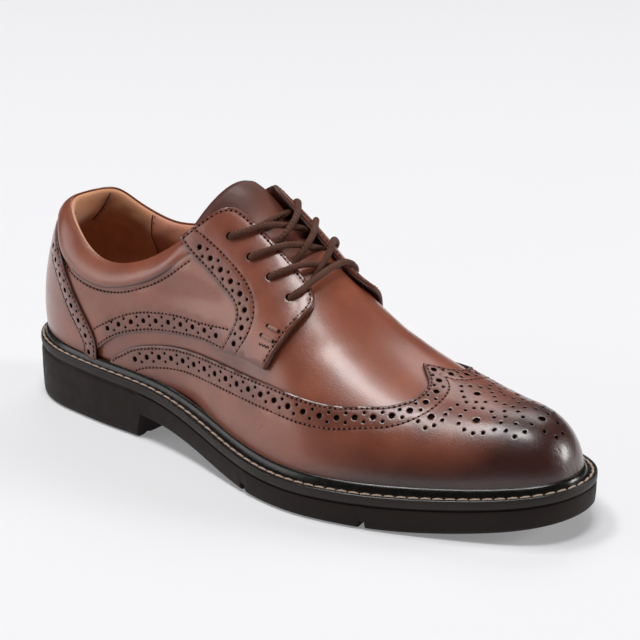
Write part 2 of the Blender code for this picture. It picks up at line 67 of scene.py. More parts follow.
TONGUE_BASE_X, TONGUE_TOP_X, TONGUE_TOP_SLOPE, TONGUE_TOP_Y = 25.0, -30.2, 0.40, 9.0
TONGUE_HALF_BASE, TONGUE_HALF_TOP, TONGUE_THICK, TONGUE_EASE = 20.0, 36.0, 2.4, 0.8
EYELET_ROWS_X, EYELET_GIRTH = (-23.8, -11.2, 0.8, 12.4), 25.7

SOLE_COLUMNS = ("station", "lateral", "medial", "welt_top")
SOLE_ROWS = (
    (0.00, 29.5, 34.0, 30.4), (0.10, 32.3, 33.5, 28.8), (0.20, 36.0, 32.5, 27.9), (0.32, 38.5, 30.5, 25.9),
    (0.44, 46.5, 33.0, 19.9), (0.55, 56.0, 41.0, 15.5), (0.64, 59.0, 47.5, 14.8), (0.72, 55.0, 50.5, 15.3),
    (0.82, 46.5, 49.0, 16.8), (0.92, 41.5, 46.0, 20.2), (1.00, 43.0, 43.5, 24.6),
)
LAST_COLUMNS = ("station", "margin", "ridge_y", "ridge_z", "lateral_crown", "medial_crown", "wall")
LAST_ROWS = (
    (0.00, 4.5, 1.0, 126.0, 2.2, 2.2, 2.4), (0.10, 4.5, 0.5, 130.0, 2.2, 2.2, 2.3),
    (0.20, 5.0, 0.5, 136.0, 2.1, 2.1, 2.2), (0.30, 6.0, 2.0, 136.0, 2.0, 2.1, 2.0),
    (0.40, 7.0, 4.5, 123.0, 1.9, 2.3, 1.9), (0.48, 7.0, 5.5, 107.0, 1.9, 2.4, 1.9),
    (0.55, 7.0, 5.5, 90.8, 2.0, 2.3, 1.9), (0.62, 7.0, 5.0, 73.6, 2.1, 2.1, 1.9),
    (0.70, 7.0, 3.5, 59.8, 2.2, 2.2, 2.0), (0.80, 7.0, 3.0, 50.2, 2.3, 2.3, 2.1),
    (0.90, 6.7, 2.0, 48.0, 2.3, 2.3, 2.2), (1.00, 6.0, 0.5, 52.0, 2.3, 2.3, 2.2),
)
LEAN_COLUMNS = ("height", "forward")
LEAN_ROWS = ((0.0, 0.6), (8.0, -1.2), (20.0, -2.1), (34.0, -0.6), (50.0, 3.4), (64.0, 8.0), (120.0, 30.0))
TOPLINE_COLUMNS = ("x", "lateral", "medial")
TOPLINE_ROWS = (
    (-147.0, 97.4, 97.4), (-134.0, 93.2, 98.0), (-120.0, 87.0, 92.0), (-106.0, 80.4, 87.8),
    (-93.0, 77.8, 86.0), (-80.0, 79.4, 87.2), (-65.0, 85.6, 91.0), (-49.0, 97.0, 99.0),
    (-41.0, 103.6, 106.0), (-35.0, 108.2, 110.5), (-29.0, 110.4, 113.0), (-22.0, 115.0, 118.0),
)

# Panel lines on the lateral side: place along the shoe and distance round from the foot's axis.
FACING_FRONT = (
    (-49.3, 43.1), (-45.0, 37.0), (-40.6, 30.4), (-36.0, 23.4), (-31.6, 17.8), (-27.0, 14.2), (-20.4, 12.7),
    (-12.0, 12.5), (0.2, 12.8), (8.2, 13.3), (14.6, 14.1), (19.4, 15.9), (21.8, 19.0), (22.2, 22.6),
    (21.0, 29.8), (17.4, 45.4), (13.6, 57.8),
)
FACING_REAR = (
    (-49.3, 43.1), (-43.1, 45.4), (-33.2, 46.0), (-19.5, 46.5), (-12.0, 47.6), (-9.4, 50.5), (-10.4, 59.1),
    (-14.9, 70.5),
)
FACING_FOOT = ((-14.9, 70.5), (-9.7, 67.7), (3.2, 61.6), (13.6, 57.8))
FACING_STITCH = (
    (-44.5, 35.6), (-33.6, 34.5), (-20.8, 34.2), (-6.8, 36.2), (-0.4, 41.8), (-0.2, 53.1), (-4.1, 63.6),
)
QUARTER_FOOT = (
    (-23.3, 73.9), (-36.8, 81.0), (-49.9, 88.1), (-62.5, 94.2), (-74.8, 99.4), (-84.2, 103.5), (-95.5, 110.6),
)
QUARTER_STITCH = (
    (-13.0, 59.6), (-25.1, 66.6), (-38.1, 73.4), (-50.8, 79.6), (-61.8, 84.6), (-72.7, 89.1), (-87.6, 96.0),
    (-96.5, 100.4),
)
WING_EDGE = (
    (67.6, 0.0), (71.1, 3.4), (75.8, 7.6), (78.2, 12.4), (78.0, 18.9), (74.0, 26.3), (69.3, 31.3),
    (61.6, 36.8), (53.5, 42.7), (44.0, 48.2), (28.7, 55.6), (5.3, 67.0), (-22.3, 79.7), (-49.6, 94.0),
    (-62.3, 100.6), (-74.8, 106.7), (-81.2, 110.7), (-85.8, 113.5), (-88.6, 119.0),
)

# The medial facing stands further forward and nearer the middle.
FACING_FRONT_MEDIAL = (
    (-49.3, 43.1), (-44.0, 35.0), (-38.0, 27.0), (-32.0, 20.0), (-26.5, 13.6), (-22.0, 9.0), (-15.0, 7.2),
    (-6.0, 6.8), (5.0, 6.8), (15.0, 7.0), (21.6, 8.4), (26.0, 11.6), (27.8, 15.4), (27.8, 20.0), (26.0, 28.0),
    (22.5, 44.0), (18.6, 56.0),
)
FACING_REAR_MEDIAL = (
    (-49.3, 43.1), (-43.0, 43.4), (-32.0, 42.4), (-16.0, 41.8), (-6.0, 42.4), (-2.6, 45.5), (-3.4, 54.0),
    (-7.6, 67.0),
)
FACING_FOOT_MEDIAL = ((-7.6, 67.0), (-2.0, 64.6), (8.5, 60.0), (18.6, 56.0))
FACING_STITCH_MEDIAL = (
    (-44.0, 35.0), (-32.0, 31.4), (-17.0, 29.6), (-1.0, 31.2), (6.0, 36.8), (6.6, 48.0), (3.0, 60.0),
)
EYELET_SHIFT, EYELET_GIRTH_MEDIAL = 5.8, 19.0

# Lines given by place along the shoe and height above the floor.
COUNTER_EDGE = (
    (-133.8, 84.5), (-124.7, 75.4), (-116.2, 65.9), (-108.3, 55.8), (-99.8, 45.7), (-95.4, 37.0),
    (-95.6, 30.0), (-96.0, 24.0),
)
ROLL_SEAM = (
    (-132.0, 85.1), (-125.1, 76.6), (-117.3, 70.9), (-108.1, 67.3), (-97.7, 65.6), (-87.8, 66.2),
    (-78.5, 68.3), (-69.6, 71.6), (-60.9, 75.9), (-52.5, 81.4), (-44.6, 87.6), (-38.0, 92.5),
)
QUARTER_REAR = ((-101.5, 43.0), (-113.5, 57.0), (-123.4, 69.0), (-133.2, 80.8))
ROLL_SEAM_BACK_Z, ROLL_OVERLAP = 86.5, 1.2
MEDIAL_COLLAR_RISE, MEDIAL_RISE_X, MEDIAL_RISE_REACH = 5.5, -122, 20

# Toe medallion: place along the shoe and distance from the axis, each with its mirror twin.
MEDALLION_BIG = ((95.9, 0.0), (128.4, 0.0), (88.4, 23.8), (106.1, 15.5))
MEDALLION_SMALL = (
    (87.7, 0.0), (105.6, 0.0), (110.0, 0.0), (114.2, 0.0), (90.2, 3.3), (93.4, 6.3), (96.3, 8.6), (99.5, 6.0),
    (102.5, 3.4), (94.2, 12.2), (93.2, 16.2), (93.0, 19.4), (93.3, 22.6), (91.6, 26.6), (88.8, 29.6),
    (84.7, 28.8), (98.9, 13.0), (101.2, 10.0), (104.3, 8.2), (108.9, 8.2), (111.9, 10.8), (116.2, 12.2),
    (98.8, 16.9), (100.2, 20.4), (103.8, 21.9), (108.0, 21.7), (111.9, 19.7), (115.6, 16.5), (120.3, 14.8),
    (124.7, 15.4), (113.4, 5.2), (116.0, 8.5), (118.4, 2.6), (122.4, 5.0), (122.2, 9.9), (127.5, 6.2),
    (127.2, 11.0), (132.9, 5.0), (136.8, 2.4),
)

# Soft troughs of the worn-in leather: place, girth, heading in the panel, half length, half width, depth.
CREASE_ROWS = (
    (-40.0, -62.0, 18.0, 24.0, 7.0, 0.55),
    (-55.0, -74.0, 6.0, 22.0, 6.0, 0.35),
    (-86.0, -84.0, -14.0, 18.0, 7.0, 0.35),
    (-28.0, -57.0, 34.0, 12.0, 4.5, 0.30),
    (-40.0, 60.0, -18.0, 24.0, 7.0, 0.50),
    (-80.0, 80.0, 10.0, 20.0, 7.0, 0.35),
    (38.0, -24.0, 62.0, 16.0, 6.0, 0.25),
    (46.0, 20.0, -64.0, 15.0, 6.0, 0.25),
    (22.0, -64.0, -30.0, 18.0, 7.0, 0.30),
    (18.0, 15.0, 0.0, 19.0, 13.0, 1.5),
)


def smooth_through(places, values, at):
    """Natural cubic through a table's values, read at other places."""
    count = len(places)
    span = np.diff(places)
    system = np.eye(count)
    right = np.zeros(count)
    for k in range(1, count - 1):
        system[k, k - 1:k + 2] = span[k - 1], 2 * (span[k - 1] + span[k]), span[k]
        right[k] = 6 * ((values[k + 1] - values[k]) / span[k] - (values[k] - values[k - 1]) / span[k - 1])
    bend = np.linalg.solve(system, right)
    at = np.asarray(at, float)
    k = np.clip(np.searchsorted(places, at) - 1, 0, count - 2)
    after, before = at - places[k], places[k + 1] - at
    cubic = (bend[k] * before ** 3 + bend[k + 1] * after ** 3) / (6 * span[k])
    line = (values[k] / span[k] - bend[k] * span[k] / 6) * before
    return cubic + line + (values[k + 1] / span[k] - bend[k + 1] * span[k] / 6) * after


FINE_STEPS = 6001


def finely(columns, rows):
    """Columns of a table read through their cubics at many even places of the first."""
    table = [np.array(values, float) for values in zip(*rows)]
    places = np.linspace(table[0][0], table[0][-1], FINE_STEPS)
    return {name: (places, smooth_through(table[0], values, places)) for name, values in zip(columns, table)}


SOLE_FINE = finely(SOLE_COLUMNS, SOLE_ROWS)
LAST_FINE = finely(LAST_COLUMNS, LAST_ROWS)
LEAN_FINE = finely(LEAN_COLUMNS, LEAN_ROWS)
TOPLINE_FINE = finely(TOPLINE_COLUMNS, TOPLINE_ROWS)


def station(x):
    return np.asarray(x, float) / LENGTH + 0.5


def sole_value(column, x):
    return np.interp(station(x), *SOLE_FINE[column])


def last_value(column, x):
    return np.interp(station(x), *LAST_FINE[column])


def ease(value):
    """Soft step from 0 to 1."""
    value = np.clip(value, 0, 1)
    return value * value * (3 - 2 * value)


def bell(distance, width):
    """1 at no distance, falling softly away."""
    return np.exp(-(distance / width) ** 2)


def blend(first, second, share):
    return first + (second - first) * share


def from_lateral(angle, side):
    """Section angle from the lateral foot, for one measured from a side's own foot."""
    return angle if side < 0 else np.pi - angle


def round_end(distance, reach, power):
    """Share of the full width at a distance in from a rounded end."""
    lack = np.clip(1 - distance / reach, 0, 1)
    return (1 - lack ** power) ** (1 / power)


def plan_ends(x, heel_x, toe_x):
    return round_end(x - heel_x, HEEL_REACH, HEEL_POWER) * round_end(toe_x - x, TOE_REACH, TOE_POWER)


def sole_edge(x):
    """Lateral and medial edges of the outsole."""
    share = plan_ends(x, -LENGTH / 2, LENGTH / 2)
    return -sole_value("lateral", x) * share, sole_value("medial", x) * share


def welt_top(x):
    return sole_value("welt_top", x)


def underside(x):
    """Height of the sole's underside: heel, arch, flat tread, toe spring and flex notches."""
    x = np.asarray(x, float)
    past_breast = (x - BREAST_X) / (ARCH_END_X - BREAST_X)
    height = np.where(x > BREAST_X, ARCH_RISE * (1 - ease(past_breast)), 0.0)
    height = height + TOE_SPRING * np.clip((x - SPRING_START_X) / (LENGTH / 2 - SPRING_START_X), 0, 1) ** 2
    for place in NOTCH_PLACES_X:
        height = np.where(np.abs(x - place) < (NOTCH_FLOOR + NOTCH_WIDTH) / 4, height + NOTCH_DEPTH, height)
    return height


UPPER_HEEL_X = -LENGTH / 2 + HEEL_MARGIN
UPPER_TOE_X = LENGTH / 2 - TOE_MARGIN


def upper_x(run):
    """Place along the last for a run of 0 at the heel to 1 at the toe, close together at both round ends."""
    return UPPER_HEEL_X + (UPPER_TOE_X - UPPER_HEEL_X) * (1 - np.cos(np.pi * np.asarray(run, float))) / 2


def run_at(x):
    share = (np.asarray(x, float) - UPPER_HEEL_X) / (UPPER_TOE_X - UPPER_HEEL_X)
    return np.arccos(np.clip(1 - 2 * share, -1, 1)) / np.pi


def foot_z(x):
    """Height of the last's bottom edge, level with the underside of the welt."""
    return welt_top(x) - WELT_THICK


def rise(x):
    """Height of the ridge above the bottom edge."""
    drop = round_end(UPPER_TOE_X - x, TOE_DROP, TOE_DROP_POWER)
    return (last_value("ridge_z", x) - foot_z(x)) * drop


def half_section(x):
    """Lateral and medial extent of the last and the place of its ridge."""
    share = plan_ends(x, UPPER_HEEL_X, UPPER_TOE_X)
    margin = last_value("margin", x)
    lateral = -(sole_value("lateral", x) - margin) * share
    medial = (sole_value("medial", x) - margin) * share
    return lateral, medial, last_value("ridge_y", x) * share


def lean(x, height):
    """How far the heel's back stands forward of its bottom edge."""
    near_heel = np.clip(1 - (x - UPPER_HEEL_X) / LEAN_REACH, 0, 1) ** LEAN_POWER
    return np.interp(height, *LEAN_FINE["forward"]) * near_heel


def surface(run, angle):
    """Point of the last; the angle goes from 0 at the lateral foot over the ridge to pi at the medial one."""
    run, angle = np.broadcast_arrays(np.asarray(run, float), np.asarray(angle, float))
    x = upper_x(run)
    lateral, medial, ridge_y = half_section(x)
    across, up = np.cos(angle), np.clip(np.sin(angle), 0, 1)
    on_lateral = across > 0
    side = np.where(on_lateral, lateral, medial)
    crown = np.where(on_lateral, last_value("lateral_crown", x), last_value("medial_crown", x))
    height = rise(x) * up ** (2 / last_value("wall", x))
    tuck = 1 - TUCK_SHARE * bell(height, TUCK_HIGH)
    y = ridge_y + (side * tuck - ridge_y) * np.abs(across) ** (2 / crown)
    return np.stack([x + lean(x, height), y, foot_z(x) + height], -1)


def skin(run, angle, offset):
    """Point a given distance out from the last along its normal."""
    run, angle, offset = np.broadcast_arrays(*(np.asarray(v, float) for v in (run, angle, offset)))
    step = NORMAL_STEP
    inner_run = np.clip(run, 0, 1 - step)
    before, after = np.clip(inner_run - step, 0, 1), np.clip(inner_run + step, 0, 1)
    below, above = np.clip(angle - step, 0, np.pi), np.clip(angle + step, 0, np.pi)
    along = surface(after, angle) - surface(before, angle)
    around = surface(inner_run, above) - surface(inner_run, below)
    normal = np.cross(along, around)
    normal = normal / np.linalg.norm(normal, axis=-1, keepdims=True)
    return surface(run, angle) + offset[..., None] * normal


def angle_at_height(x, z):
    """Lateral section angle at a height above the floor."""
    share = np.clip((z - foot_z(x)) / np.maximum(rise(x), TINY), 0, 1)
    return np.arcsin(share ** (last_value("wall", x) / 2))


def angle_at_y(x, y, side):
    """Section angle measured from the foot on one side, at a place y on that side of the ridge."""
    lateral, medial, ridge_y = half_section(x)
    reach = np.where(side < 0, lateral, medial) - ridge_y
    crown = last_value("lateral_crown" if side < 0 else "medial_crown", x)
    return np.arccos(np.clip((y - ridge_y) / reach, 0, 1) ** (crown / 2))


def top_angle(x, side):
    """Section angle, from the foot, of the upper's collar and throat edge on one side."""
    edge_z = np.interp(x, *TOPLINE_FINE["lateral" if side < 0 else "medial"])
    collar = angle_at_height(x, edge_z)
    if x <= THROAT_TOP_X:
        return float(collar)
    if x >= THROAT_END_X:
        return np.pi / 2
    share = (x - THROAT_TOP_X) / (THROAT_END_X - THROAT_TOP_X)
    half = blend(THROAT_HALF_TOP, THROAT_HALF_END, share)
    ridge_y = float(half_section(x)[2])
    open_share = round_end(THROAT_END_X - x, THROAT_ROUND, 2.0)
    throat = angle_at_y(x, blend(ridge_y, side * half, open_share), side)
    return float(min(collar, throat))


# Distance round each section from the foot's axis, negative to the lateral side.
GIRTH_RUNS = np.linspace(0, 1, 401)
GIRTH_ANGLES = np.linspace(0, np.pi, 361)


def girth_table():
    points = surface(GIRTH_RUNS[:, None], GIRTH_ANGLES[None])
    steps = np.linalg.norm(np.diff(points, axis=1), axis=2)
    length = np.concatenate([np.zeros((len(GIRTH_RUNS), 1)), np.cumsum(steps, axis=1)], axis=1)
    axis = [np.interp(0.0, row[:, 1], along) for row, along in zip(points, length)]
    return length - np.array(axis)[:, None]


GIRTH = girth_table()


def girth_row(x):
    place = float(run_at(x)) * (len(GIRTH_RUNS) - 1)
    k = min(int(place), len(GIRTH_RUNS) - 2)
    return blend(GIRTH[k], GIRTH[k + 1], place - k)


def by_girth(rows, side, same_girth=False):
    """Spots for places given by girth; the medial side keeps the girth or the share of its own half."""
    spots = []
    for x, girth in rows:
        row = girth_row(x)
        if side > 0 and not same_girth:
            girth = girth * row[-1] / -row[0]
        spots.append((float(run_at(x)), float(np.interp(side * girth, row, GIRTH_ANGLES))))
    return np.array(spots)


def by_height(rows, side, signed=False):
    """Spots for places given by height; a signed run has the medial side behind zero."""
    spots = []
    for x, z in rows:
        x_last = x
        for _ in range(8):
            x_last = float(np.clip(x - lean(x_last, z - foot_z(x_last)), UPPER_HEEL_X, UPPER_TOE_X))
        run, angle = float(run_at(x_last)), float(angle_at_height(x_last, z))
        spots.append((-side * run, angle) if signed else (run, from_lateral(angle, side)))
    return np.array(spots)


def on_last(spots, offset=0.0):
    """Points for spots of run and angle; a run below zero is on the medial side, angle from its foot."""
    spots = np.asarray(spots, float)
    run = spots[..., 0]
    return skin(np.abs(run), np.where(run < 0, np.pi - spots[..., 1], spots[..., 1]), offset)


SPOT_STEP, TRACE_STEP = 1e-3, 0.3


def dot(a, b):
    return (a * b).sum(-1)


def unit(v):
    return v / np.maximum(np.linalg.norm(v, axis=-1, keepdims=True), 1e-12)


def length_along(points):
    """Length gone at each point of a line."""
    return np.concatenate([[0], np.cumsum(np.linalg.norm(np.diff(points, axis=0), axis=1))])


def along_line(at, length, line):
    """A line read at some lengths along it."""
    return np.stack([np.interp(at, length, line[:, k]) for k in range(line.shape[1])], -1)


def looped(line):
    """A line closed with its own first point."""
    return np.concatenate([line, line[:1]])


def circle(sides):
    return np.linspace(0, 2 * np.pi, sides, endpoint=False)


def step_on(spots, vectors):
    """Change of run and angle that moves spots along tangent vectors in millimetres."""
    step = SPOT_STEP
    along = (on_last(spots + [step, 0]) - on_last(spots - [step, 0])) / (2 * step)
    around = (on_last(spots + [0, step]) - on_last(spots - [0, step])) / (2 * step)
    aa, ab, bb = dot(along, along), dot(along, around), dot(around, around)
    va, vb = dot(vectors, along), dot(vectors, around)
    scale = np.maximum(aa * bb - ab * ab, 1e-9)
    return np.stack([(va * bb - vb * ab) / scale, (vb * aa - va * ab) / scale], -1)


def trace(spots, pitch):
    """Even spots along a smooth line through a few."""
    spots = np.asarray(spots, float)
    chord = length_along(on_last(spots))
    fine = np.linspace(0, chord[-1], max(8, int(chord[-1] / TRACE_STEP)))
    dense = np.stack([smooth_through(chord, spots[:, k], fine) for k in (0, 1)], -1)
    length = length_along(on_last(dense))
    even = np.linspace(0, length[-1], max(2, round(length[-1] / pitch) + 1))
    return along_line(even, length, dense)


def slide(path, distance, closed=False):
    """A line moved sideways over the leather, to its left seen from outside."""
    points = on_last(path)
    ahead = np.roll(points, -1, 0) - np.roll(points, 1, 0) if closed else np.gradient(points, axis=0)
    sideways = unit(np.cross(on_last(path, 1.0) - points, ahead))
    return path + step_on(path, sideways * distance)


HOLE_SIDES = 12


def discs(spots, radii):
    """Rings of spots round many centres."""
    point, out = on_last(spots), on_last(spots, 1.0)
    normal = unit(out - point)
    first = unit(np.cross(normal, np.array([0.0, 0.0, 1.0]) + 0.01))
    second = np.cross(normal, first)
    turn = circle(HOLE_SIDES)[None, :, None]
    way = np.cos(turn) * first[:, None] + np.sin(turn) * second[:, None]
    centres = np.repeat(spots[:, None], HOLE_SIDES, 1)
    return centres + step_on(centres, way * radii[:, None, None])


def crease_frames():
    """Centre, heading and cross direction of each soft trough, with its half sizes and depth."""
    frames = []
    for x, girth, heading, *sizes in CREASE_ROWS:
        spot = by_girth([(x, abs(girth))], np.sign(girth), True)[0]
        heading = np.radians(heading)
        ahead = unit(on_last(spot + [SPOT_STEP, 0]) - on_last(spot - [SPOT_STEP, 0]))
        up = np.cross(unit(on_last(spot, 1.0) - on_last(spot)), ahead)
        frames.append((on_last(spot), ahead * np.cos(heading) + up * np.sin(heading),
                       up * np.cos(heading) - ahead * np.sin(heading), *sizes))
    return frames


CREASE_FRAMES = crease_frames()
RIDGE_SHARE, SLOW_HIGH = 1.2, 0.07


def ripple(points):
    """Soft troughs with a low ridge on each side, and the slow unevenness of stretched hide."""
    total = np.zeros(points.shape[:-1])
    for centre, ahead, across, reach, width, depth in CREASE_FRAMES:
        along = dot(points - centre, ahead) / reach
        off = dot(points - centre, across) / width
        total -= depth * (1 - RIDGE_SHARE * off ** 2) * np.exp(-along ** 2 - off ** 2)
    x, y, z = points[..., 0], points[..., 1], points[..., 2]
    slow = np.sin(x / 17 + y / 23) * np.sin(z / 13 - x / 31 + 1.3) + 0.6 * np.sin(x / 9 - z / 11 + y / 14)
    return total + SLOW_HIGH * slow


def nearest(points, samples):
    """Distance from each point to the closest sample, and which it is."""
    tree = kdtree.KDTree(len(samples))
    for k, sample in enumerate(samples):
        tree.insert(sample, k)
    tree.balance()
    found = [tree.find(p)[1:] for p in points]
    return np.array([d for _, d in found]), np.array([k for k, _ in found])


def inside(points, loop):
    """Which plane points lie in a closed loop."""
    x, y = points[:, 0][:, None], points[:, 1][:, None]
    x0, y0 = loop[:, 0][None], loop[:, 1][None]
    x1, y1 = np.roll(loop[:, 0], -1)[None], np.roll(loop[:, 1], -1)[None]
    crossing = (y0 > y) != (y1 > y)
    flat = np.where(np.abs(y1 - y0) < 1e-12, 1e-12, y1 - y0)
    return ((crossing & (x < x0 + (y - y0) * (x1 - x0) / flat)).sum(1) % 2) == 1


# Darkening: greatest shares of dark polish on the toe, its tip and beside cut edges, of darkening low at the
# heel, and of painted shade along the foot of the upper above the welt; where each part starts and how far it
# reaches.
LOW_START, LOW_REACH, FOOT_START, FOOT_REACH = 4, 34, 5, 4.5
TOE_SHADE, TOE_START, TOE_REACH_X = 0.95, 20, 66
TIP_SHADE, TIP_START, TIP_REACH_X = 0.80, 100, 38
HEEL_SHADE, HEEL_START, HEEL_HIGH, HEEL_FADE = 0.25, -118, 36, 30
FOOT_PAINTED_SHADE, EDGE_LINE, EDGE_LINE_REACH, EDGE_SHADE, EDGE_SHADE_REACH = 0.16, 0.62, 0.7, 0.16, 6.0


def burnish(points, edge_distance):
    """Darker polish towards the toe and beside cut edges, darker low at the heel, and painted shade along the
    foot of the upper where it meets the welt.
    """
    x, z = points[..., 0], points[..., 2]
    height = z - foot_z(np.clip(x, UPPER_HEEL_X, UPPER_TOE_X))
    low = 1 - ease((height - LOW_START) / LOW_REACH)
    tip = ease((x - TIP_START) / TIP_REACH_X) * TIP_SHADE
    toe = ease((x - TOE_START) / TOE_REACH_X) * low * TOE_SHADE + tip
    heel = HEEL_SHADE * ease((HEEL_START - x) / HEEL_FADE) * ease((HEEL_HIGH - height) / HEEL_FADE)
    # Painted shade in the corner where the upper meets the welt.
    foot = FOOT_PAINTED_SHADE * bell(np.maximum(height - FOOT_START, 0), FOOT_REACH)
    edge = EDGE_LINE * np.exp(-edge_distance / EDGE_LINE_REACH)
    edge = edge + EDGE_SHADE * np.exp(-edge_distance / EDGE_SHADE_REACH)
    return np.clip(toe + heel + foot + edge, 0, 1)


# ---------------------------------------------------------------- materials


class Nodes:
    """A material's nodes, made in short calls."""

    def __init__(self, name):
        self.material = bpy.data.materials.new(name)
        self.material.use_nodes = True
        self.tree = self.material.node_tree
        self.shader = self.tree.nodes["Principled BSDF"]
        self.place = self.add("TexCoord", {})["Object"]

    def add(self, kind, inputs, **settings):
        """Outputs of a new node, its inputs fed with numbers or with other nodes' outputs."""
        node = self.tree.nodes.new("ShaderNode" + kind)
        for name, value in settings.items():
            setattr(node, name, value)
        for name, value in inputs.items():
            self.feed(node.inputs[name], value)
        return node.outputs

    def feed(self, socket, value):
        if isinstance(value, bpy.types.NodeSocket):
            self.tree.links.new(value, socket)
        else:
            socket.default_value = value

    def noise(self, scale, detail=3.0, rough=0.55, stretch=None):
        place = self.place
        if stretch:
            place = self.add("Mapping", {"Vector": place, "Scale": stretch})["Vector"]
        inputs = {"Vector": place, "Scale": scale, "Detail": detail, "Roughness": rough}
        return self.add("TexNoise", inputs)["Fac"]

    def cells(self, scale):
        inputs = {"Vector": self.place, "Scale": scale}
        return self.add("TexVoronoi", inputs, feature="DISTANCE_TO_EDGE")["Distance"]

    def math(self, kind, first, second=0.0, clamp=False):
        return self.add("Math", {0: first, 1: second}, operation=kind, use_clamp=clamp)[0]

    def span(self, value, low, high, to_low, to_high):
        inputs = {"Value": value, "From Min": low, "From Max": high, "To Min": to_low, "To Max": to_high}
        return self.add("MapRange", inputs)["Result"]

    def attribute(self, name):
        return self.add("Attribute", {}, attribute_name=name)["Fac"]

    def mix(self, share, first, second):
        first, second = ((*c, 1.0) if isinstance(c, tuple) else c for c in (first, second))
        return self.add("Mix", {0: share, 6: first, 7: second}, data_type="RGBA")[2]

    def bump(self, height, strength, distance):
        inputs = {"Height": height, "Strength": strength, "Distance": distance}
        self.feed(self.shader.inputs["Normal"], self.add("Bump", inputs)["Normal"])

    def finish(self, colour, roughness, **constants):
        self.feed(self.shader.inputs["Base Color"], colour)
        self.feed(self.shader.inputs["Roughness"], roughness)
        for name, value in constants.items():
            self.shader.inputs[name.replace("_", " ")].default_value = value
        return self.material


def leather(name, light, mid, dark, rough=(0.27, 0.38), coat=0.85):
    """Polished calf: cloudy dye, dark burnish and painted shade from the mesh, fine pores and a thin wax
    coat.
    """
    n = Nodes(name)
    cloud = n.span(n.noise(38, 4), 0.34, 0.68, 0, 1)
    fine = n.span(n.noise(420, 3), 0.3, 0.7, 0, 1)
    dye = n.mix(cloud, light, mid)
    dye = n.mix(n.math("MULTIPLY", fine, 0.22), dye, mid)
    # The mesh's darkening holds both polish and painted shade.
    polish_and_shade = n.math("ADD", n.attribute("burnish"), n.span(n.noise(70, 3), 0.3, 0.7, -0.07, 0.07), clamp=True)
    colour = n.mix(polish_and_shade, dye, dark)
    pores = n.span(n.cells(1150), 0.0, 0.16, 0, 1)
    grain = n.math("ADD", n.math("MULTIPLY", pores, 0.5), n.math("MULTIPLY", n.noise(700, 4), 1.0))
    n.bump(grain, 0.30, 0.00022)
    roughness = n.span(n.math("ADD", n.noise(90, 3), n.math("MULTIPLY", fine, 0.25)), 0.35, 0.85, *rough)
    return n.finish(colour, roughness, Coat_Weight=coat, Coat_Roughness=0.25, Specular_IOR_Level=0.45)


def rubber(name, low, high, rough, grain=0.2, shine=0.15):
    """Moulded rubber with a faint cloud and a fine matt grain."""
    n = Nodes(name)
    colour = n.mix(n.span(n.noise(60, 4), 0.3, 0.7, 0, 1), low, high)
    n.bump(n.math("ADD", n.noise(900, 3), n.noise(160, 2, stretch=(0.2, 0.2, 3.0))), grain, 0.00025)
    return n.finish(colour, n.span(n.noise(240, 3), 0.3, 0.7, *rough), Specular_IOR_Level=shine)


def suede(name, low, high):
    """Short nap with brushed light and dark patches."""
    n = Nodes(name)
    patch = n.span(n.noise(70, 4, 0.6), 0.3, 0.72, 0, 1)
    colour = n.mix(n.math("MULTIPLY", n.noise(1500, 2), 0.35), n.mix(patch, low, high), low)
    n.bump(n.noise(1700, 3, 0.7), 0.5, 0.0003)
    return n.finish(colour, n.span(patch, 0, 1, 0.85, 0.95), Sheen_Weight=0.35, Sheen_Roughness=0.5,
                    Specular_IOR_Level=0.2)


def thread(name, low, high):
    """Twisted thread, its ply seen as slanting fine ridges."""
    n = Nodes(name)
    ply = n.noise(2200, 2, stretch=(1.0, 1.0, 2.5))
    n.bump(ply, 0.5, 0.0002)
    return n.finish(n.mix(n.span(ply, 0.3, 0.7, 0, 1), low, high), n.span(n.noise(500), 0.3, 0.7, 0.5, 0.7))


STRANDS, STRAND_PITCH = 6, 3.4


def braid(name, low, high):
    """Waxed round lace: two families of strands crossing round the cord."""
    n = Nodes(name)
    along, around = n.attribute("along"), n.attribute("around")
    sines = []
    for sign in (1.0, -1.0):
        round_cord = n.math("MULTIPLY", around, sign * STRANDS * 2 * math.pi)
        sines.append(n.math("SINE", n.math("ADD", n.math("MULTIPLY", along, STRAND_PITCH), round_cord)))
    weave = n.math("MAXIMUM", *sines)
    wear_and_shade = n.noise(160, 3)
    colour = n.mix(n.span(weave, -0.2, 1.0, 0, 1), low, high)
    colour = n.mix(n.span(wear_and_shade, 0.35, 0.7, 0, 0.5), colour, low)
    n.bump(weave, 0.55, 0.0003)
    return n.finish(colour, n.span(wear_and_shade, 0.3, 0.7, 0.5, 0.68), Specular_IOR_Level=0.2)


CALF = leather("calf", (0.325, 0.092, 0.047), (0.232, 0.059, 0.030), (0.040, 0.0088, 0.0055))
TONGUE_SKIN = leather("tongue_skin", (0.240, 0.068, 0.038), (0.170, 0.046, 0.026), (0.040, 0.011, 0.009),
                      (0.40, 0.54), 0.05)
RAW_EDGE = leather("raw_edge", (0.360, 0.150, 0.080), (0.250, 0.090, 0.050), (0.120, 0.040, 0.025),
                   (0.6, 0.8), 0.0)
# Cut edges of the panels painted near black: the painted shadow line under each overlapping edge.
CUT_EDGE_SHADOW = leather("cut_edge_painted_shadow", (0.022, 0.008, 0.006), (0.016, 0.006, 0.005), (0.008, 0.003, 0.003),
                   (0.6, 0.8), 0.0)
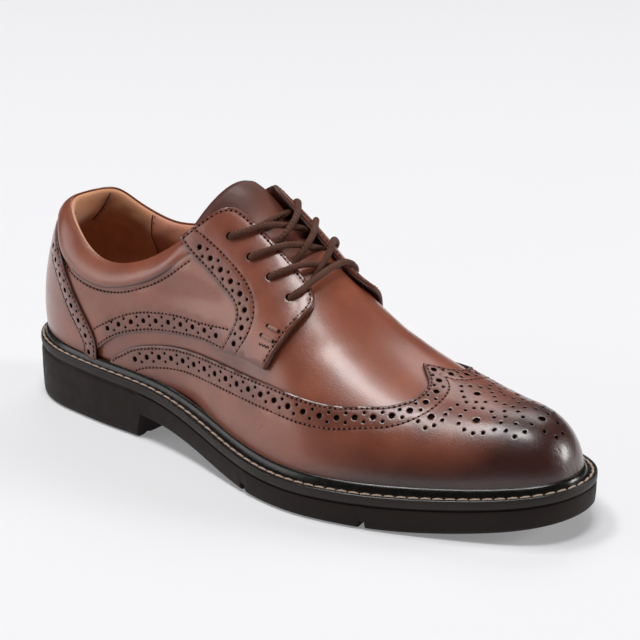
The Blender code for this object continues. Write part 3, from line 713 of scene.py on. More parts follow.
# Near black for the insides of punched holes and needle holes: painted shadow.
HOLE_SHADOW = rubber("hole_painted_shadow", (0.006, 0.003, 0.002), (0.012, 0.006, 0.004), (0.7, 0.9))
SUEDE = suede("heel_suede", (0.600, 0.265, 0.135), (0.780, 0.390, 0.210))
LINING = leather("lining_leather", (0.700, 0.300, 0.190), (0.600, 0.245, 0.150), (0.110, 0.034, 0.020),
                 (0.48, 0.62), 0.05)
SOCK = leather("sock_leather", (0.330, 0.140, 0.070), (0.250, 0.100, 0.052), (0.110, 0.040, 0.024),
               (0.5, 0.66), 0.05)
SOLE_RUBBER = rubber("sole_rubber", (0.0165, 0.0112, 0.0094), (0.0225, 0.0158, 0.0134), (0.50, 0.66))
BAND_RUBBER = rubber("band_rubber", (0.020, 0.0155, 0.0130), (0.028, 0.022, 0.0185), (0.40, 0.54), 0.2, 0.25)
WELT_BLACK = rubber("welt_black", (0.004, 0.0035, 0.003), (0.007, 0.006, 0.005), (0.20, 0.32), 0.08, 0.5)
PALE_THREAD = thread("pale_thread", (0.300, 0.205, 0.145), (0.520, 0.390, 0.300))
TAN_THREAD = thread("tan_thread", (0.260, 0.118, 0.080), (0.390, 0.205, 0.145))
# Dark thread for the zigzag, also the painted shade of the lining seams' groove.
DARK_THREAD_AND_GROOVE_SHADOW = thread("dark_thread_and_groove_shadow", (0.020, 0.007, 0.005), (0.045, 0.015, 0.010))
CALF_THREAD = thread("calf_thread", (0.150, 0.046, 0.028), (0.260, 0.090, 0.056))
LACE_CORD = braid("lace_cord_braid", (0.055, 0.021, 0.013), (0.170, 0.072, 0.044))


# ---------------------------------------------------------------- meshes


def put(name, data):
    """New object in the scene."""
    thing = bpy.data.objects.new(name, data)
    bpy.context.scene.collection.objects.link(thing)
    return thing


class Shape:
    """Points in millimetres from the foot's axis, faces with a material each, and point attributes."""

    def __init__(self):
        self.points, self.faces, self.slots = [], [], []
        self.values = {}

    def add(self, points, **values):
        points = np.asarray(points, float)
        first = len(self.points)
        self.points.extend(points.reshape(-1, 3))
        for name in set(self.values) | set(values):
            column = self.values.setdefault(name, [0.0] * first)
            fresh = np.broadcast_to(values.get(name, 0.0), points.shape[:-1])
            column.extend(fresh.reshape(-1))
        return np.arange(first, len(self.points)).reshape(points.shape[:-1])

    def ring(self, points, **values):
        """Points added as a closed loop."""
        return looped(self.add(points, **values))

    def face(self, corners, slot=0):
        clean = [int(c) for c, before in zip(corners, np.roll(corners, 1)) if c != before]
        if len(set(clean)) > 2:
            self.faces.append(clean)
            self.slots.append(slot)

    def sheet(self, grid, slot=0):
        grid = np.asarray(grid)
        for row in range(grid.shape[0] - 1):
            for k in range(grid.shape[1] - 1):
                self.face((grid[row, k], grid[row + 1, k], grid[row + 1, k + 1], grid[row, k + 1]),
                          slot if np.isscalar(slot) else slot[row][k])

    def build(self, name, materials, node, sharp=38.0):
        mesh = bpy.data.meshes.new(name)
        moved = (np.array(self.points) + [0.0, AXIS_Y, 0.0]) * MM
        mesh.from_pydata(moved.tolist(), [], self.faces)
        for material in materials:
            mesh.materials.append(material)
        mesh.polygons.foreach_set("material_index", np.array(self.slots, np.int32))
        for key, values in self.values.items():
            layer = mesh.attributes.new(key, "FLOAT", "POINT")
            layer.data.foreach_set("value", np.array(values, np.float32))
        work = bmesh.new()
        work.from_mesh(mesh)
        bmesh.ops.recalc_face_normals(work, faces=work.faces)
        work.to_mesh(mesh)
        work.free()
        mesh.polygons.foreach_set("use_smooth", [True] * len(mesh.polygons))
        mesh.set_sharp_from_angle(angle=math.radians(sharp))
        piece = put(name, mesh)
        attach(piece, "root")
        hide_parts(node)
        return piece


CHART = np.array([430.0, 85.0])
GRID_PITCH, EDGE_PITCH = 2.6, 1.1
EDGE_ROUND, EDGE_DROP = 0.55, 0.34
ROW_WIDTH, ROW_DEPTH, STITCH_PITCH = 0.55, 0.20, 2.3
LIP_WIDTH, LIP_STEP, LIP_DROP, HOLE_FLOOR = 0.32, 0.4, 0.12, 0.06
BAND_SHADE, BAND_REACH = 0.40, 4.2
STITCH_ROWS = []

# Gaps kept from the cut edge and the holes by the spots of rims, rows, the rows' sides and the grid.
RIM_GAPS, ROW_GAPS, BESIDE_GAPS, GRID_GAPS = (0.3, 0.2), (0.4, 0.35), (0.45, 0.45), (0.9, 0.8)


def chart_grid(loop):
    """Staggered spots over a loop's extent, about a grid pitch apart."""
    low, high = loop.min(0), loop.max(0)
    spots = []
    count = int((high[0] - low[0]) * CHART[0] / GRID_PITCH) + 2
    for number, run in enumerate(np.linspace(low[0], high[0], count)):
        row = GIRTH[int(round(abs(run) * (len(GIRTH_RUNS) - 1)))]
        per_angle = max((row[-1] - row[0]) / np.pi, 8.0)
        angles = np.arange(low[1], high[1], GRID_PITCH * 1.1 / per_angle)
        angles = angles + (number % 2) * GRID_PITCH / 2 / per_angle
        spots.append(np.stack([np.full(len(angles), run), angles], -1))
    return np.concatenate(spots)


def panel(name, loop, base, thick, holes, rows, lift=lambda points: 0.0, node="upper", edge=CUT_EDGE_SHADOW):
    """Leather panel with a real cut edge, punched holes and stitch rows drawn into it."""
    area = np.sum(loop[:, 0] * np.roll(loop[:, 1], -1) - np.roll(loop[:, 0], -1) * loop[:, 1])
    loop = loop if area > 0 else loop[::-1]
    middles = np.array([h[:2] for h in holes])
    radii = np.array([h[2] for h in holes])
    fixed, links, owner = [loop, *discs(middles, radii)], [], []
    for number, ring in enumerate(fixed):
        first, count = len(owner), len(ring)
        links += [(first + k, first + (k + 1) % count) for k in range(count)]
        owner += [number - 1] * count
    edge_points = on_last(trace_loop(loop))
    centres = on_last(middles)
    row_points = on_last(np.concatenate(rows))

    def clear(spots, edge_gap, hole_gap, taken=None, gap=0.0):
        spots = spots[inside(spots * CHART, loop * CHART)]
        if not len(spots):
            return spots
        points = on_last(spots)
        distance, which = nearest(points, centres)
        keep = (nearest(points, edge_points)[0] > edge_gap) & (distance > radii[which] + hole_gap)
        if taken is not None:
            keep &= nearest(points, on_last(taken))[0] > gap
        return spots[keep]

    lips = [discs(middles, radii + reach).reshape(-1, 2) for reach in (LIP_WIDTH, LIP_WIDTH + LIP_STEP)]
    soft = [clear(np.concatenate([slide(loop, EDGE_ROUND, True), *lips]), *RIM_GAPS)]
    for row in rows:
        dense = trace(row, 1.0)
        soft.append(clear(dense, *ROW_GAPS))
        for shift in (-1.5 * ROW_WIDTH, 1.5 * ROW_WIDTH):
            soft.append(clear(slide(dense, shift), *BESIDE_GAPS, np.concatenate(soft), 0.5))
    special = np.concatenate(fixed + soft)
    grid = clear(chart_grid(loop), *GRID_GAPS, special, 1.0)
    plane = [Vector(p) for p in (np.concatenate([special, grid]) * CHART).tolist()]
    found = delaunay_2d_cdt(plane, links, [], 1, 1e-5)
    spots = np.array([p[:] for p in found[0]]) / CHART
    hole_of = np.array([next((owner[k] for k in ids if k < len(owner)), -1) for ids in found[3]])
    faces = [f for f in found[2] if not (hole_of[f[0]] >= 0 and len({hole_of[k] for k in f}) == 1)]

    def heights(at):
        """Height of the panel's top over the last, and its distance from the cut edge."""
        points = on_last(at)
        from_edge = nearest(points, edge_points)[0]
        distance, which = nearest(points, centres)
        lip = np.clip((distance - radii[which]) / LIP_WIDTH, 0, 1)
        top = base + thick - EDGE_DROP * (1 - np.clip(from_edge / EDGE_ROUND, 0, 1)) ** 2
        top = top - ROW_DEPTH * bell(nearest(points, row_points)[0], ROW_WIDTH)
        return top - LIP_DROP * (1 - lip) ** 2 + ripple(points) + lift(points), from_edge

    top, from_edge = heights(spots)
    ground = on_last(spots)
    bottom = base + ripple(ground) + lift(ground)
    band = BAND_SHADE * bell(nearest(ground, centres)[0], BAND_REACH)
    shade = np.clip(burnish(ground, from_edge) + band, 0, 1)
    shape = Shape()
    upper = shape.add(on_last(spots, top), burnish=shade)
    lower = shape.add(on_last(spots, bottom), burnish=shade)
    sharing = {}
    for face in faces:
        shape.face([upper[k] for k in face])
        shape.face([lower[k] for k in face[::-1]])
        for pair in zip(face, face[1:] + face[:1]):
            sharing[min(pair), max(pair)] = sharing.get((min(pair), max(pair)), 0) + 1
    level = base + HOLE_FLOOR + ripple(centres) + lift(centres)
    floor_middle = shape.add(on_last(middles, level), burnish=1.0)
    under_middle = shape.add(on_last(middles, level - HOLE_FLOOR), burnish=1.0)
    rims = np.flatnonzero(hole_of >= 0)
    floor = dict(zip(rims, shape.add(on_last(spots[rims], bottom[rims] + HOLE_FLOOR), burnish=1.0)))
    for a, b in [pair for pair, times in sharing.items() if times == 1]:
        hole = hole_of[a]
        if hole < 0 or hole != hole_of[b]:
            # Cut edge wall, in the painted shadow colour unless a raw edge is given.
            shape.face((upper[a], upper[b], lower[b], lower[a]), 2)
            continue
        # Hole walls and floor in the painted hole shadow.
        shape.face((upper[a], upper[b], floor[b], floor[a]), 1)
        shape.face((floor[a], floor[b], floor_middle[hole]), 1)
        shape.face((lower[a], lower[b], under_middle[hole]), 1)
    for row in rows:
        even = trace(row, STITCH_PITCH / 2)
        STITCH_ROWS.append((even, heights(even)[0]))
    shape.build(name, (CALF, HOLE_SHADOW, edge), node)
    return heights


def trace_loop(loop):
    """Extra spots between a loop's own, for measuring distance from it."""
    following = np.roll(loop, -1, 0)
    return np.concatenate([blend(loop, following, share) for share in (0, 1 / 3, 2 / 3)])


JOIN_GAP = 0.35


def join(*parts):
    """One closed loop from lines that meet end to end."""
    kept = []
    for spot in np.concatenate(parts):
        if not kept or np.linalg.norm((spot - kept[-1]) * CHART) > JOIN_GAP:
            kept.append(spot)
    if np.linalg.norm((kept[0] - kept[-1]) * CHART) < JOIN_GAP:
        kept.pop()
    return np.array(kept)


BIG_HOLE, SMALL_HOLE, BROGUE_PITCH, PAIR_REACH = 1.25, 0.70, 7.9, 2.0
WING_HOLE, WING_SMALL, TOE_HOLE, TOE_SMALL, WING_TIP_HOLE = 1.35, 0.74, 1.50, 0.82, (73.1, 0.0)


def brogue(line, start=0.5, stop=0.5, big=BIG_HOLE, small=SMALL_HOLE):
    """Row of big holes along a line, with a pair of small ones before each."""
    even = trace(line, 0.5)
    length = length_along(on_last(even))
    places = np.arange(start * BROGUE_PITCH, length[-1] - stop * BROGUE_PITCH, BROGUE_PITCH)
    between = places - BROGUE_PITCH / 2
    between = between[between > 1.0]
    holes = []
    for path, at, radius in ((even, places, big), (slide(even, PAIR_REACH), between, small),
                             (slide(even, -PAIR_REACH), between, small)):
        holes += [(run, angle, radius) for run, angle in along_line(at, length, path)]
    return holes


LATERAL, MEDIAL = -1, 1
SIDES = ((LATERAL, "lateral"), (MEDIAL, "medial"))
FOOT_ANGLE = 0.012
TIP_RUN = 0.986


def foot_line(x_from, x_to, side):
    runs = np.linspace(float(run_at(x_from)), float(run_at(x_to)), 60)
    return np.stack([runs, np.full(60, from_lateral(FOOT_ANGLE, side))], -1)


def girth_line(rows, side, same_girth=False):
    return trace(by_girth(rows, side, same_girth), EDGE_PITCH)


def counter_line(side):
    return trace(by_height(COUNTER_EDGE, side, True), EDGE_PITCH)


FACINGS = {
    LATERAL: (FACING_FRONT, FACING_REAR, FACING_FOOT, FACING_STITCH),
    MEDIAL: (FACING_FRONT_MEDIAL, FACING_REAR_MEDIAL, FACING_FOOT_MEDIAL, FACING_STITCH_MEDIAL),
}

# Lift of the facings' loose edges off the vamp: first point of the edge, steps along it and heights.
LIFT_REACH = 11.0
LIFTS = {
    LATERAL: (-6, (0.0, 0.25, 0.5, 0.8, 1.0), (0.5, 1.5, 1.9, 1.2, 0.2)),
    MEDIAL: (4, (0.0, 0.15, 0.4, 0.52, 0.68, 0.85, 1.0), (0.0, 0.2, 0.3, 0.9, 1.6, 1.0, 0.2)),
}


def edge_lift(side):
    first, steps, rises = LIFTS[side]
    line = on_last(trace(by_girth(FACINGS[side][0][first:], side, True), 1.0))
    heights = np.interp(np.linspace(0, 1, len(line)), steps, rises)

    def lift(points):
        distance, which = nearest(points, line)
        return heights[which] * ease(1 - distance / LIFT_REACH)

    return lift


QUARTER_BASE, QUARTER_THICK = -0.05, 1.15
FACING_BASE, FACING_THICK = 1.08, 1.20
WING_BASE, WING_THICK = -0.15, 1.25
COUNTER_BASE, COUNTER_THICK, COUNTER_STEP = -0.05, 1.15, 1.2
COUNTER_TAPER, COUNTER_TUCK = 0.6, 0.8
ROW_INSET = 1.35


# Wing: inset of its inner row and its brogue at the peak, and how much more along the wings.
WING_ROW, WING_BROGUE, WING_ROW_PEAK = (8.6, 1.6), (4.4, 0.9), (79.7, 0.4)


def make_wing():
    """Wing cap over the toe, its long wings running back to the heel on both sides."""
    edges = {side: girth_line(WING_EDGE, side) for side, _ in SIDES}
    tail_x = WING_EDGE[-1][0]
    tip_x = float(upper_x(TIP_RUN))
    tip = np.stack([np.full(14, TIP_RUN), np.linspace(FOOT_ANGLE, np.pi - FOOT_ANGLE, 14)], -1)
    loop = join(edges[LATERAL], foot_line(tail_x, tip_x, LATERAL), tip, foot_line(tip_x, tail_x, MEDIAL),
                edges[MEDIAL][::-1])
    rows, holes = [], [(*by_girth([WING_TIP_HOLE], LATERAL)[0], WING_HOLE)]
    for side, edge in edges.items():
        gone = ease(np.linspace(0, 1, len(edge))[:, None] * 5)
        inner, centre = (slide(edge, -side * (first + more * gone))
                         for first, more in (WING_ROW, WING_BROGUE))
        rows.append(slide(edge[2:-6], -side * ROW_INSET))
        rows.append(trace(np.concatenate([by_girth([WING_ROW_PEAK], side), inner[12:-14:8]]), EDGE_PITCH))
        line = np.concatenate([by_girth([WING_TIP_HOLE], side), centre[10:-8:6]])
        holes += brogue(line, 1.0, 0.3, WING_HOLE, WING_SMALL)
    for places, radius in ((MEDALLION_BIG, TOE_HOLE), (MEDALLION_SMALL, TOE_SMALL)):
        for x, girth in places:
            for side in (LATERAL, MEDIAL) if girth else (LATERAL,):
                holes.append((*by_girth([(x, girth)], side, True)[0], radius))
    return panel("wing_cap", loop, WING_BASE, WING_THICK, holes, rows)


def medial_rise(x, side):
    """How much higher the roll's seam runs on the medial side, none at the heel."""
    return MEDIAL_COLLAR_RISE * float(ease((x - MEDIAL_RISE_X) / MEDIAL_RISE_REACH)) if side > 0 else 0.0


SEAM_UNDERLAP, SEAM_ROW_INSET, QUARTER_BROGUE_INSET, QUARTER_BROGUE_START = 1.6, 1.7, 5.3, (-19.8, 67.6)
TUCK_NEAR, TUCK_FADE, TUCK_FROM_Z, TUCK_REACH_Z = 1, 5, 62, 12


def make_quarter(side, label):
    """Side panel from the facing's front edge back under the heel counter."""
    front_rows, _, foot_rows, _ = FACINGS[side]
    foot_start = by_girth(foot_rows[::-1], side, True)
    foot = trace(np.concatenate([foot_start, by_girth(QUARTER_FOOT, side)]), EDGE_PITCH)
    rear = trace(by_height(QUARTER_REAR, side), EDGE_PITCH)
    seam = trace(by_height([(x, z + medial_rise(x, side)) for x, z in ROLL_SEAM], side), EDGE_PITCH)
    loop = join(girth_line(front_rows, side, True), foot, rear, slide(seam, -side * SEAM_UNDERLAP)[4:])
    rows = [slide(foot, side * ROW_INSET)[2:-2], girth_line(QUARTER_STITCH, side),
            slide(seam, side * SEAM_ROW_INSET)[5:-6]]
    middle = slide(foot, side * QUARTER_BROGUE_INSET)
    start = by_girth([QUARTER_BROGUE_START], side)[0]
    first = int(np.argmin(np.linalg.norm((middle - start) * CHART, axis=1)))
    holes = brogue(middle[first - 4:-3][::6], 0.5, 0.2)
    counter = on_last(counter_line(side))
    fold = edge_lift(side)

    def lift(points):
        near = 1 - ease((nearest(points, counter)[0] - TUCK_NEAR) / TUCK_FADE)
        return fold(points) - COUNTER_TUCK * near * ease((points[..., 2] - TUCK_FROM_Z) / TUCK_REACH_Z)

    return panel("quarter_" + label, loop, QUARTER_BASE, QUARTER_THICK, holes, rows, lift)


FACING_OVERHANG, FACING_ROW_INSET, FACING_BROGUE_INSET = 0.5, 2.0, 5.4


def make_facing(side, label):
    """Eyelet facing with a raw cut edge, brogued along its rear."""
    front, rear, foot, stitch = (girth_line(rows, side, True) for rows in FACINGS[side])
    loop = join(slide(front, side * FACING_OVERHANG), foot[::-1], rear[::-1])
    rows = [slide(front, side * FACING_ROW_INSET)[2:-2], slide(rear, -side * ROW_INSET)[2:-2], stitch[2:]]
    holes = brogue(slide(rear, -side * FACING_BROGUE_INSET)[6:][::5], 0.6, 0.2) + eyelets(side)
    return panel("facing_" + label + "_leather", loop, FACING_BASE, FACING_THICK, holes, rows,
                 edge_lift(side), "facing_" + label, RAW_EDGE)


EYELET_RADIUS = 1.75


def eyelets(side):
    shift, girth = (0.0, EYELET_GIRTH) if side < 0 else (EYELET_SHIFT, EYELET_GIRTH_MEDIAL)
    spots = by_girth([(x + shift, girth) for x in EYELET_ROWS_X], side, True)
    return [(run, angle, EYELET_RADIUS) for run, angle in spots]


COUNTER_ROW_INSET, COUNTER_BROGUE_INSET = 9.2, 5.2
STEP_NEAR, STEP_FADE, STEP_LESS, STEP_LESS_Z, STEP_LESS_REACH = 4, 7, 0.7, 66, 14
TAPER_FROM_Z, TAPER_REACH_Z = 74, 12


def make_counter():
    """Heel counter wrapped round the back, brogued along its front edges."""
    edges = {side: counter_line(side) for side, _ in SIDES}
    back = angle_at_height(UPPER_HEEL_X + 2, ROLL_SEAM_BACK_Z)
    start = edges[LATERAL][0]
    top = [(run, blend(start[1], float(back), 1 - (abs(run) / start[0]) ** 2))
           for run in np.linspace(-start[0], start[0], 24)]
    runs = np.linspace(edges[LATERAL][-1][0], edges[MEDIAL][-1][0], 70)
    foot = np.stack([runs, np.full(70, FOOT_ANGLE)], -1)
    loop = join(edges[LATERAL], foot, edges[MEDIAL][::-1], top)
    rows, holes = [], []
    for side, edge in edges.items():
        rows += [slide(edge, side * ROW_INSET)[2:-4], slide(edge, side * COUNTER_ROW_INSET)[8:-4]]
        holes += brogue(slide(edge, side * COUNTER_BROGUE_INSET)[6:-4][::6], 0.3, 0.3)
    front = np.concatenate([on_last(edge) for edge in edges.values()])

    def lift(points):
        z = points[..., 2]
        near = 1 - ease((nearest(points, front)[0] - STEP_NEAR) / STEP_FADE)
        near = near * (1 - STEP_LESS * ease((z - STEP_LESS_Z) / STEP_LESS_REACH))
        return COUNTER_STEP * near - COUNTER_TAPER * ease((z - TAPER_FROM_Z) / TAPER_REACH_Z)

    return panel("heel_counter", loop, COUNTER_BASE, COUNTER_THICK, holes, rows, lift)


def fine_stations(count, throat_points):
    """Places along the upper, closer together round the throat's end."""
    even = upper_x(np.linspace(0, 1, count))
    turn = THROAT_END_X - THROAT_ROUND * (1 - np.sin(np.linspace(0, np.pi / 2, throat_points)))
    clear_of = (even < THROAT_END_X - THROAT_ROUND - 1) | (even > THROAT_END_X + 1)
    return np.sort(np.concatenate([even[clear_of], turn]))


STATIONS = fine_stations(121, 12)
EDGE_SHARES = (0.0, 0.1, 0.3, 0.6, 1.0)
BODY_ROWS = 40
SUEDE_END_X, POCKET_X, POCKET_SLANT, POCKET_START, POCKET_DEEP = -107.0, -136.5, 7.5, 1.5, 17.0
SHELL_OUT, SHELL_RIM, RIM_RADIUS = -0.45, 0.7, 0.8
PILLOW_REACH, PILLOW_FROM, PILLOW_FADE = 9.0, 8.0, 16.0
ROLL_START_X, ROLL_STOP_X, ROLL_LEAST, SEAM_END_X = -50.0, -43.0, 0.02, -38.0
PILLOW_RIM, FOLD_HIGH, FOLD_END, FOLD_FADE = 1.9, 0.35, 14, 10
UNDER_ROLL, RIPPLE_FADE, FAR_FROM_EDGE = 0.6, 6, 30.0
LINING_PAINTED_SHADE, LINING_START, LINING_REACH, SEAM_SPAN = 0.75, 8, 30, slice(4, 26)

# The collar roll's section: share of the way from the rim to its seam and distance off the last.
ROLL_SHARES = (0.0, 0.08, 0.22, 0.42, 0.62, 0.80, 0.92, 1.0)
ROLL_OUTER = (-2.9, -1.9, -0.6, 0.9, 2.0, 2.3, 1.8, 0.5)
ROLL_BACK = ((0.97, -0.9), (0.6, -0.9), (0.3, -1.6), (0.1, -2.9), (0.02, -3.3))
ROLL_POINTS = 20


def roll_share(x):
    return 1 - ease((x - ROLL_START_X) / (ROLL_STOP_X - ROLL_START_X))


def roll_outer(share):
    return smooth_through(np.array(ROLL_SHARES), np.array(ROLL_OUTER), np.clip(share, 0, 1))


def seam_angle(x, side):
    """Section angle of the roll's lower seam, from the foot."""
    rows = [(-147.0, ROLL_SEAM_BACK_Z - ROLL_OVERLAP), *ROLL_SEAM]
    places, heights = np.array(rows).T
    z = float(smooth_through(places, heights, min(x, SEAM_END_X)))
    for _ in range(8):
        z = float(smooth_through(places, heights, min(x + lean(x, z - foot_z(x)), SEAM_END_X)))
    return float(angle_at_height(x, z + medial_rise(x, side)))


def down_from_edge(x, side, to_angle):
    """Section angles from the collar or throat edge downwards and the length gone."""
    angles = from_lateral(np.linspace(top_angle(x, side), to_angle, 121), side)
    return angles, length_along(surface(run_at(x), angles))


def down_roll(x, side):
    """Section angles from the rim down to the roll's seam and the length gone."""
    return down_from_edge(x, side, min(seam_angle(x, side), top_angle(x, side) - ROLL_LEAST))


def shell_rows(x, side):
    """Section angles from the edge down to the foot and their distances from the edge."""
    angles, length = down_from_edge(x, side, 0.0)
    radius = min(RIM_RADIUS if x < ROLL_STOP_X else WALL / 2, length[-1] / 4)
    first = SHELL_RIM * roll_share(x)
    body = np.linspace(radius, length[-1] - first, BODY_ROWS + 1)[1:]
    distances = np.concatenate([np.array(EDGE_SHARES) * radius, body])
    return np.interp(distances + first, length, angles), distances, radius


def shell_offsets(x, side, distance, radius, edge_open):
    """Outer and inner faces of the wall: under the roll and padded inside near the collar."""
    roll = float(roll_share(x))
    outer = np.full(len(distance), SHELL_OUT)
    inner = np.full(len(distance), -WALL)
    if roll > 0:
        band = down_roll(x, side)[1][-1]
        under = np.minimum(roll_outer((distance + SHELL_RIM) / band) - UNDER_ROLL, SHELL_OUT)
        outer = blend(outer, under, roll)
        gone = np.clip(distance / PILLOW_REACH, 0, 1)
        pillow = PILLOW_RIM + (ROLL_IN - PILLOW_RIM) * np.sqrt(gone * (2 - gone))
        pillow = pillow * (1 - ease((distance - PILLOW_FROM) / PILLOW_FADE))
        folds = FOLD_HIGH * np.sin(x / 2.9 + distance / 3.7) * np.sin(distance / 5 + x / 11)
        folds = folds * ease(distance / 5)
        inner = inner - roll * (pillow + folds * (1 - ease((distance - FOLD_END) / FOLD_FADE)))
    if not edge_open:
        return outer, inner
    swell = np.sqrt(1 - (1 - np.clip(distance / radius, 0, 1)) ** 2)
    middle = (outer + inner) / 2
    return blend(middle, outer, swell), blend(middle, inner, swell)


LINING_SEAMS = []


def make_shell():
    """Vamp outside and lining inside, one wall joined round the collar, the throat and the foot."""
    shape = Shape()
    grids = {}
    rows = len(EDGE_SHARES) + BODY_ROWS
    seam_number = int(np.argmin(np.abs(STATIONS - SUEDE_END_X)))
    for side in (LATERAL, MEDIAL):
        outer_grid, inner_grid = [], []
        for number, x in enumerate(STATIONS):
            run = float(run_at(x))
            edge_open = x <= THROAT_END_X + TINY
            if number == len(STATIONS) - 1:
                if side < 0:
                    tip = surface(1.0, 0.0)
                    grids["tip"] = shape.add([tip, tip - np.array([WALL, 0, 0])], burnish=1.0)
                outer_grid.append(np.full(rows, grids["tip"][0]))
                inner_grid.append(np.full(rows, grids["tip"][1]))
                continue
            angles, distances, radius = shell_rows(x, side)
            out, into = shell_offsets(x, side, distances, radius, edge_open)
            ground = surface(run, angles)
            wave = ripple(ground) * ease(distances / RIPPLE_FADE)
            from_edge = distances if edge_open else np.full(rows, FAR_FROM_EDGE)
            outer = shape.add(skin(run, angles, out + wave), burnish=burnish(ground, from_edge))
            # Painted shade: the lining darker further down into the shoe.
            deep = LINING_PAINTED_SHADE * ease((distances - LINING_START) / LINING_REACH)
            lining = skin(run, angles, into)
            inner = shape.add(lining, burnish=deep)
            if number == seam_number:
                inward = skin(run, angles, into - 1.0) - lining
                LINING_SEAMS.append((lining[SEAM_SPAN], inward[SEAM_SPAN]))
            if edge_open:
                inner[0] = outer[0]
            if side > 0:
                first_outer, first_inner = grids[LATERAL]
                if number == 0:
                    outer, inner = first_outer[0], first_inner[0]
                elif x >= THROAT_END_X - TINY:
                    outer[0], inner[0] = first_outer[number][0], first_inner[number][0]
            outer_grid.append(outer)
            inner_grid.append(inner)
        grids[side] = (outer_grid, inner_grid)
        lining_slots = [[3 if x < SUEDE_END_X else 2] * (rows - 1) for x in STATIONS]
        raw = [2 if ROLL_STOP_X < x < THROAT_END_X else 0 for x in STATIONS]
        edge_slots = [[1] * count + [0] * (rows - 1 - count) for count in raw]
        shape.sheet(outer_grid, edge_slots)
        shape.sheet(inner_grid, lining_slots)
        shape.sheet([[o[-1], i[-1]] for o, i in zip(outer_grid, inner_grid)])
    return shape.build("vamp_and_lining", (CALF, RAW_EDGE, LINING, SUEDE), "upper", 50.0)


def pocket_seam(side):
    """Slanting seam of the heel pocket, its points and the way into the shoe."""
    points, ways = [], []
    for down in np.linspace(POCKET_START, POCKET_DEEP, 16):
        x = POCKET_X - POCKET_SLANT * down / POCKET_DEEP
        angles, distances, radius = shell_rows(x, side)
        into = shell_offsets(x, side, distances, radius, True)[1]
        spot = [np.interp(down, distances, values) for values in (angles, into)]
        points.append(skin(run_at(x), *spot))
        ways.append(skin(run_at(x), spot[0], spot[1] - 1.0) - points[-1])
    return np.array(points), np.array(ways)


# Lining seams: stitch lengths in shares of a step, radii, and how far the tan row stands aside; the groove's
# dark humps are painted shade.
GROOVE_LENGTH, GROOVE_RADIUS, BESIDE_LENGTH, BESIDE_RADIUS, BESIDE_REACH = 0.62, 0.34, 0.9, 0.26, 1.3


def make_lining_seams():
    """Stitched seams of the heel lining, a dark groove of painted shade with tan thread beside it."""
    shape = Shape()
    LINING_SEAMS.extend(pocket_seam(side) for side, _ in SIDES)
    for line, normal in LINING_SEAMS:
        ahead = np.gradient(line, axis=0)
        step = np.linalg.norm(ahead, axis=1).mean()
        for share in (0.0, 0.5):
            places = blend(line[:-1], line[1:], share)
            add_stitches(shape, places, ahead[:-1], normal[:-1], step * GROOVE_LENGTH, GROOVE_RADIUS, 1)
        beside = line + unit(np.cross(unit(normal), unit(ahead))) * BESIDE_REACH
        add_stitches(shape, beside[::2], ahead[::2], normal[::2], step * BESIDE_LENGTH, BESIDE_RADIUS)
    return shape.build("lining_seams", (TAN_THREAD, DARK_THREAD_AND_GROOVE_SHADOW), "upper", 60.0)


ROLL_BACK_X, ROLL_BACK_REACH, ROLL_BACK_FLAT, ROLL_BACK_SINK = -120, 22, 0.5, 0.45
ROLL_END_SINK, ROLL_END_REACH, ROLL_SHADE, ROLL_SEAM_SHADOW_REACH = 0.35, 9, 0.06, 1.3


def make_roll():
    """Padded collar: soft leather from its seam up to the rim, with painted shade along its seam."""
    shape = Shape()
    loops = []
    far = upper_x(np.linspace(0, float(run_at(ROLL_STOP_X + 1)), 72))
    shares = (1 - np.cos(np.linspace(0, np.pi, ROLL_POINTS))) / 2
    back_shares, back_offsets = np.array(ROLL_BACK).T
    all_shares = np.concatenate([shares, back_shares])
    for side, x in [(LATERAL, x) for x in far[::-1]] + [(MEDIAL, x) for x in far[1:]]:
        angles, length = down_roll(x, side)
        band = length[-1]
        wave = 0.09 * np.sin(x / 3.3 + 4 * shares) * np.sin(x / 7.7 + 1) * np.sin(np.pi * shares)
        back = ease((ROLL_BACK_X - x) / ROLL_BACK_REACH)
        full = ROLL_END_SINK + (1 - ROLL_END_SINK) * ease((ROLL_STOP_X - 2 - x) / ROLL_END_REACH)
        bulge = roll_outer(shares) + wave - ROLL_BACK_FLAT * back * np.sin(np.pi * shares) ** 2
        bulge = np.where(bulge > 0, bulge * (full * (1 - ROLL_BACK_SINK * back)), bulge)
        offsets = np.concatenate([bulge, back_offsets])
        # Painted shade in the valley of the roll's seam.
        dark = bell(np.abs(1 - all_shares) * band, ROLL_SEAM_SHADOW_REACH)
        points = skin(run_at(x), np.interp(all_shares * band, length, angles), offsets)
        loops.append(shape.ring(points, burnish=ROLL_SHADE + (1 - ROLL_SHADE) * dark))
    shape.sheet(loops)
    shape.face(loops[0][:-1])
    shape.face(loops[-1][:-1][::-1])
    piece = shape.build("collar_roll", (CALF,), "upper", 60.0)


TONGUE_STEPS, TONGUE_ACROSS, TONGUE_RUN, TONGUE_ROUND, TONGUE_THIN = 34, 31, 50, 1.6, 0.15
TONGUE_CROWN, CROWN_PLACE, CROWN_REACH, TONGUE_WAVE = 0.5, 5, 30, 0.25
TONGUE_SAG, SAG_WIDTH, SAG_END, TONGUE_FADE = 0.7, 0.55, 0.86, 0.2
TOP_SHADE, TOP_SHADE_START, TOP_SHADE_REACH, RIM_SHADE, RIM_SHADE_REACH = 0.55, 0.62, 0.25, 0.2, 2
# Painted shadow of the medial facing on the tongue: where it starts across, how far it grows, and where it
# ends along.
FACING_SHADOW_START, FACING_SHADOW_REACH, FACING_SHADOW_END = 1, 6, 0.8


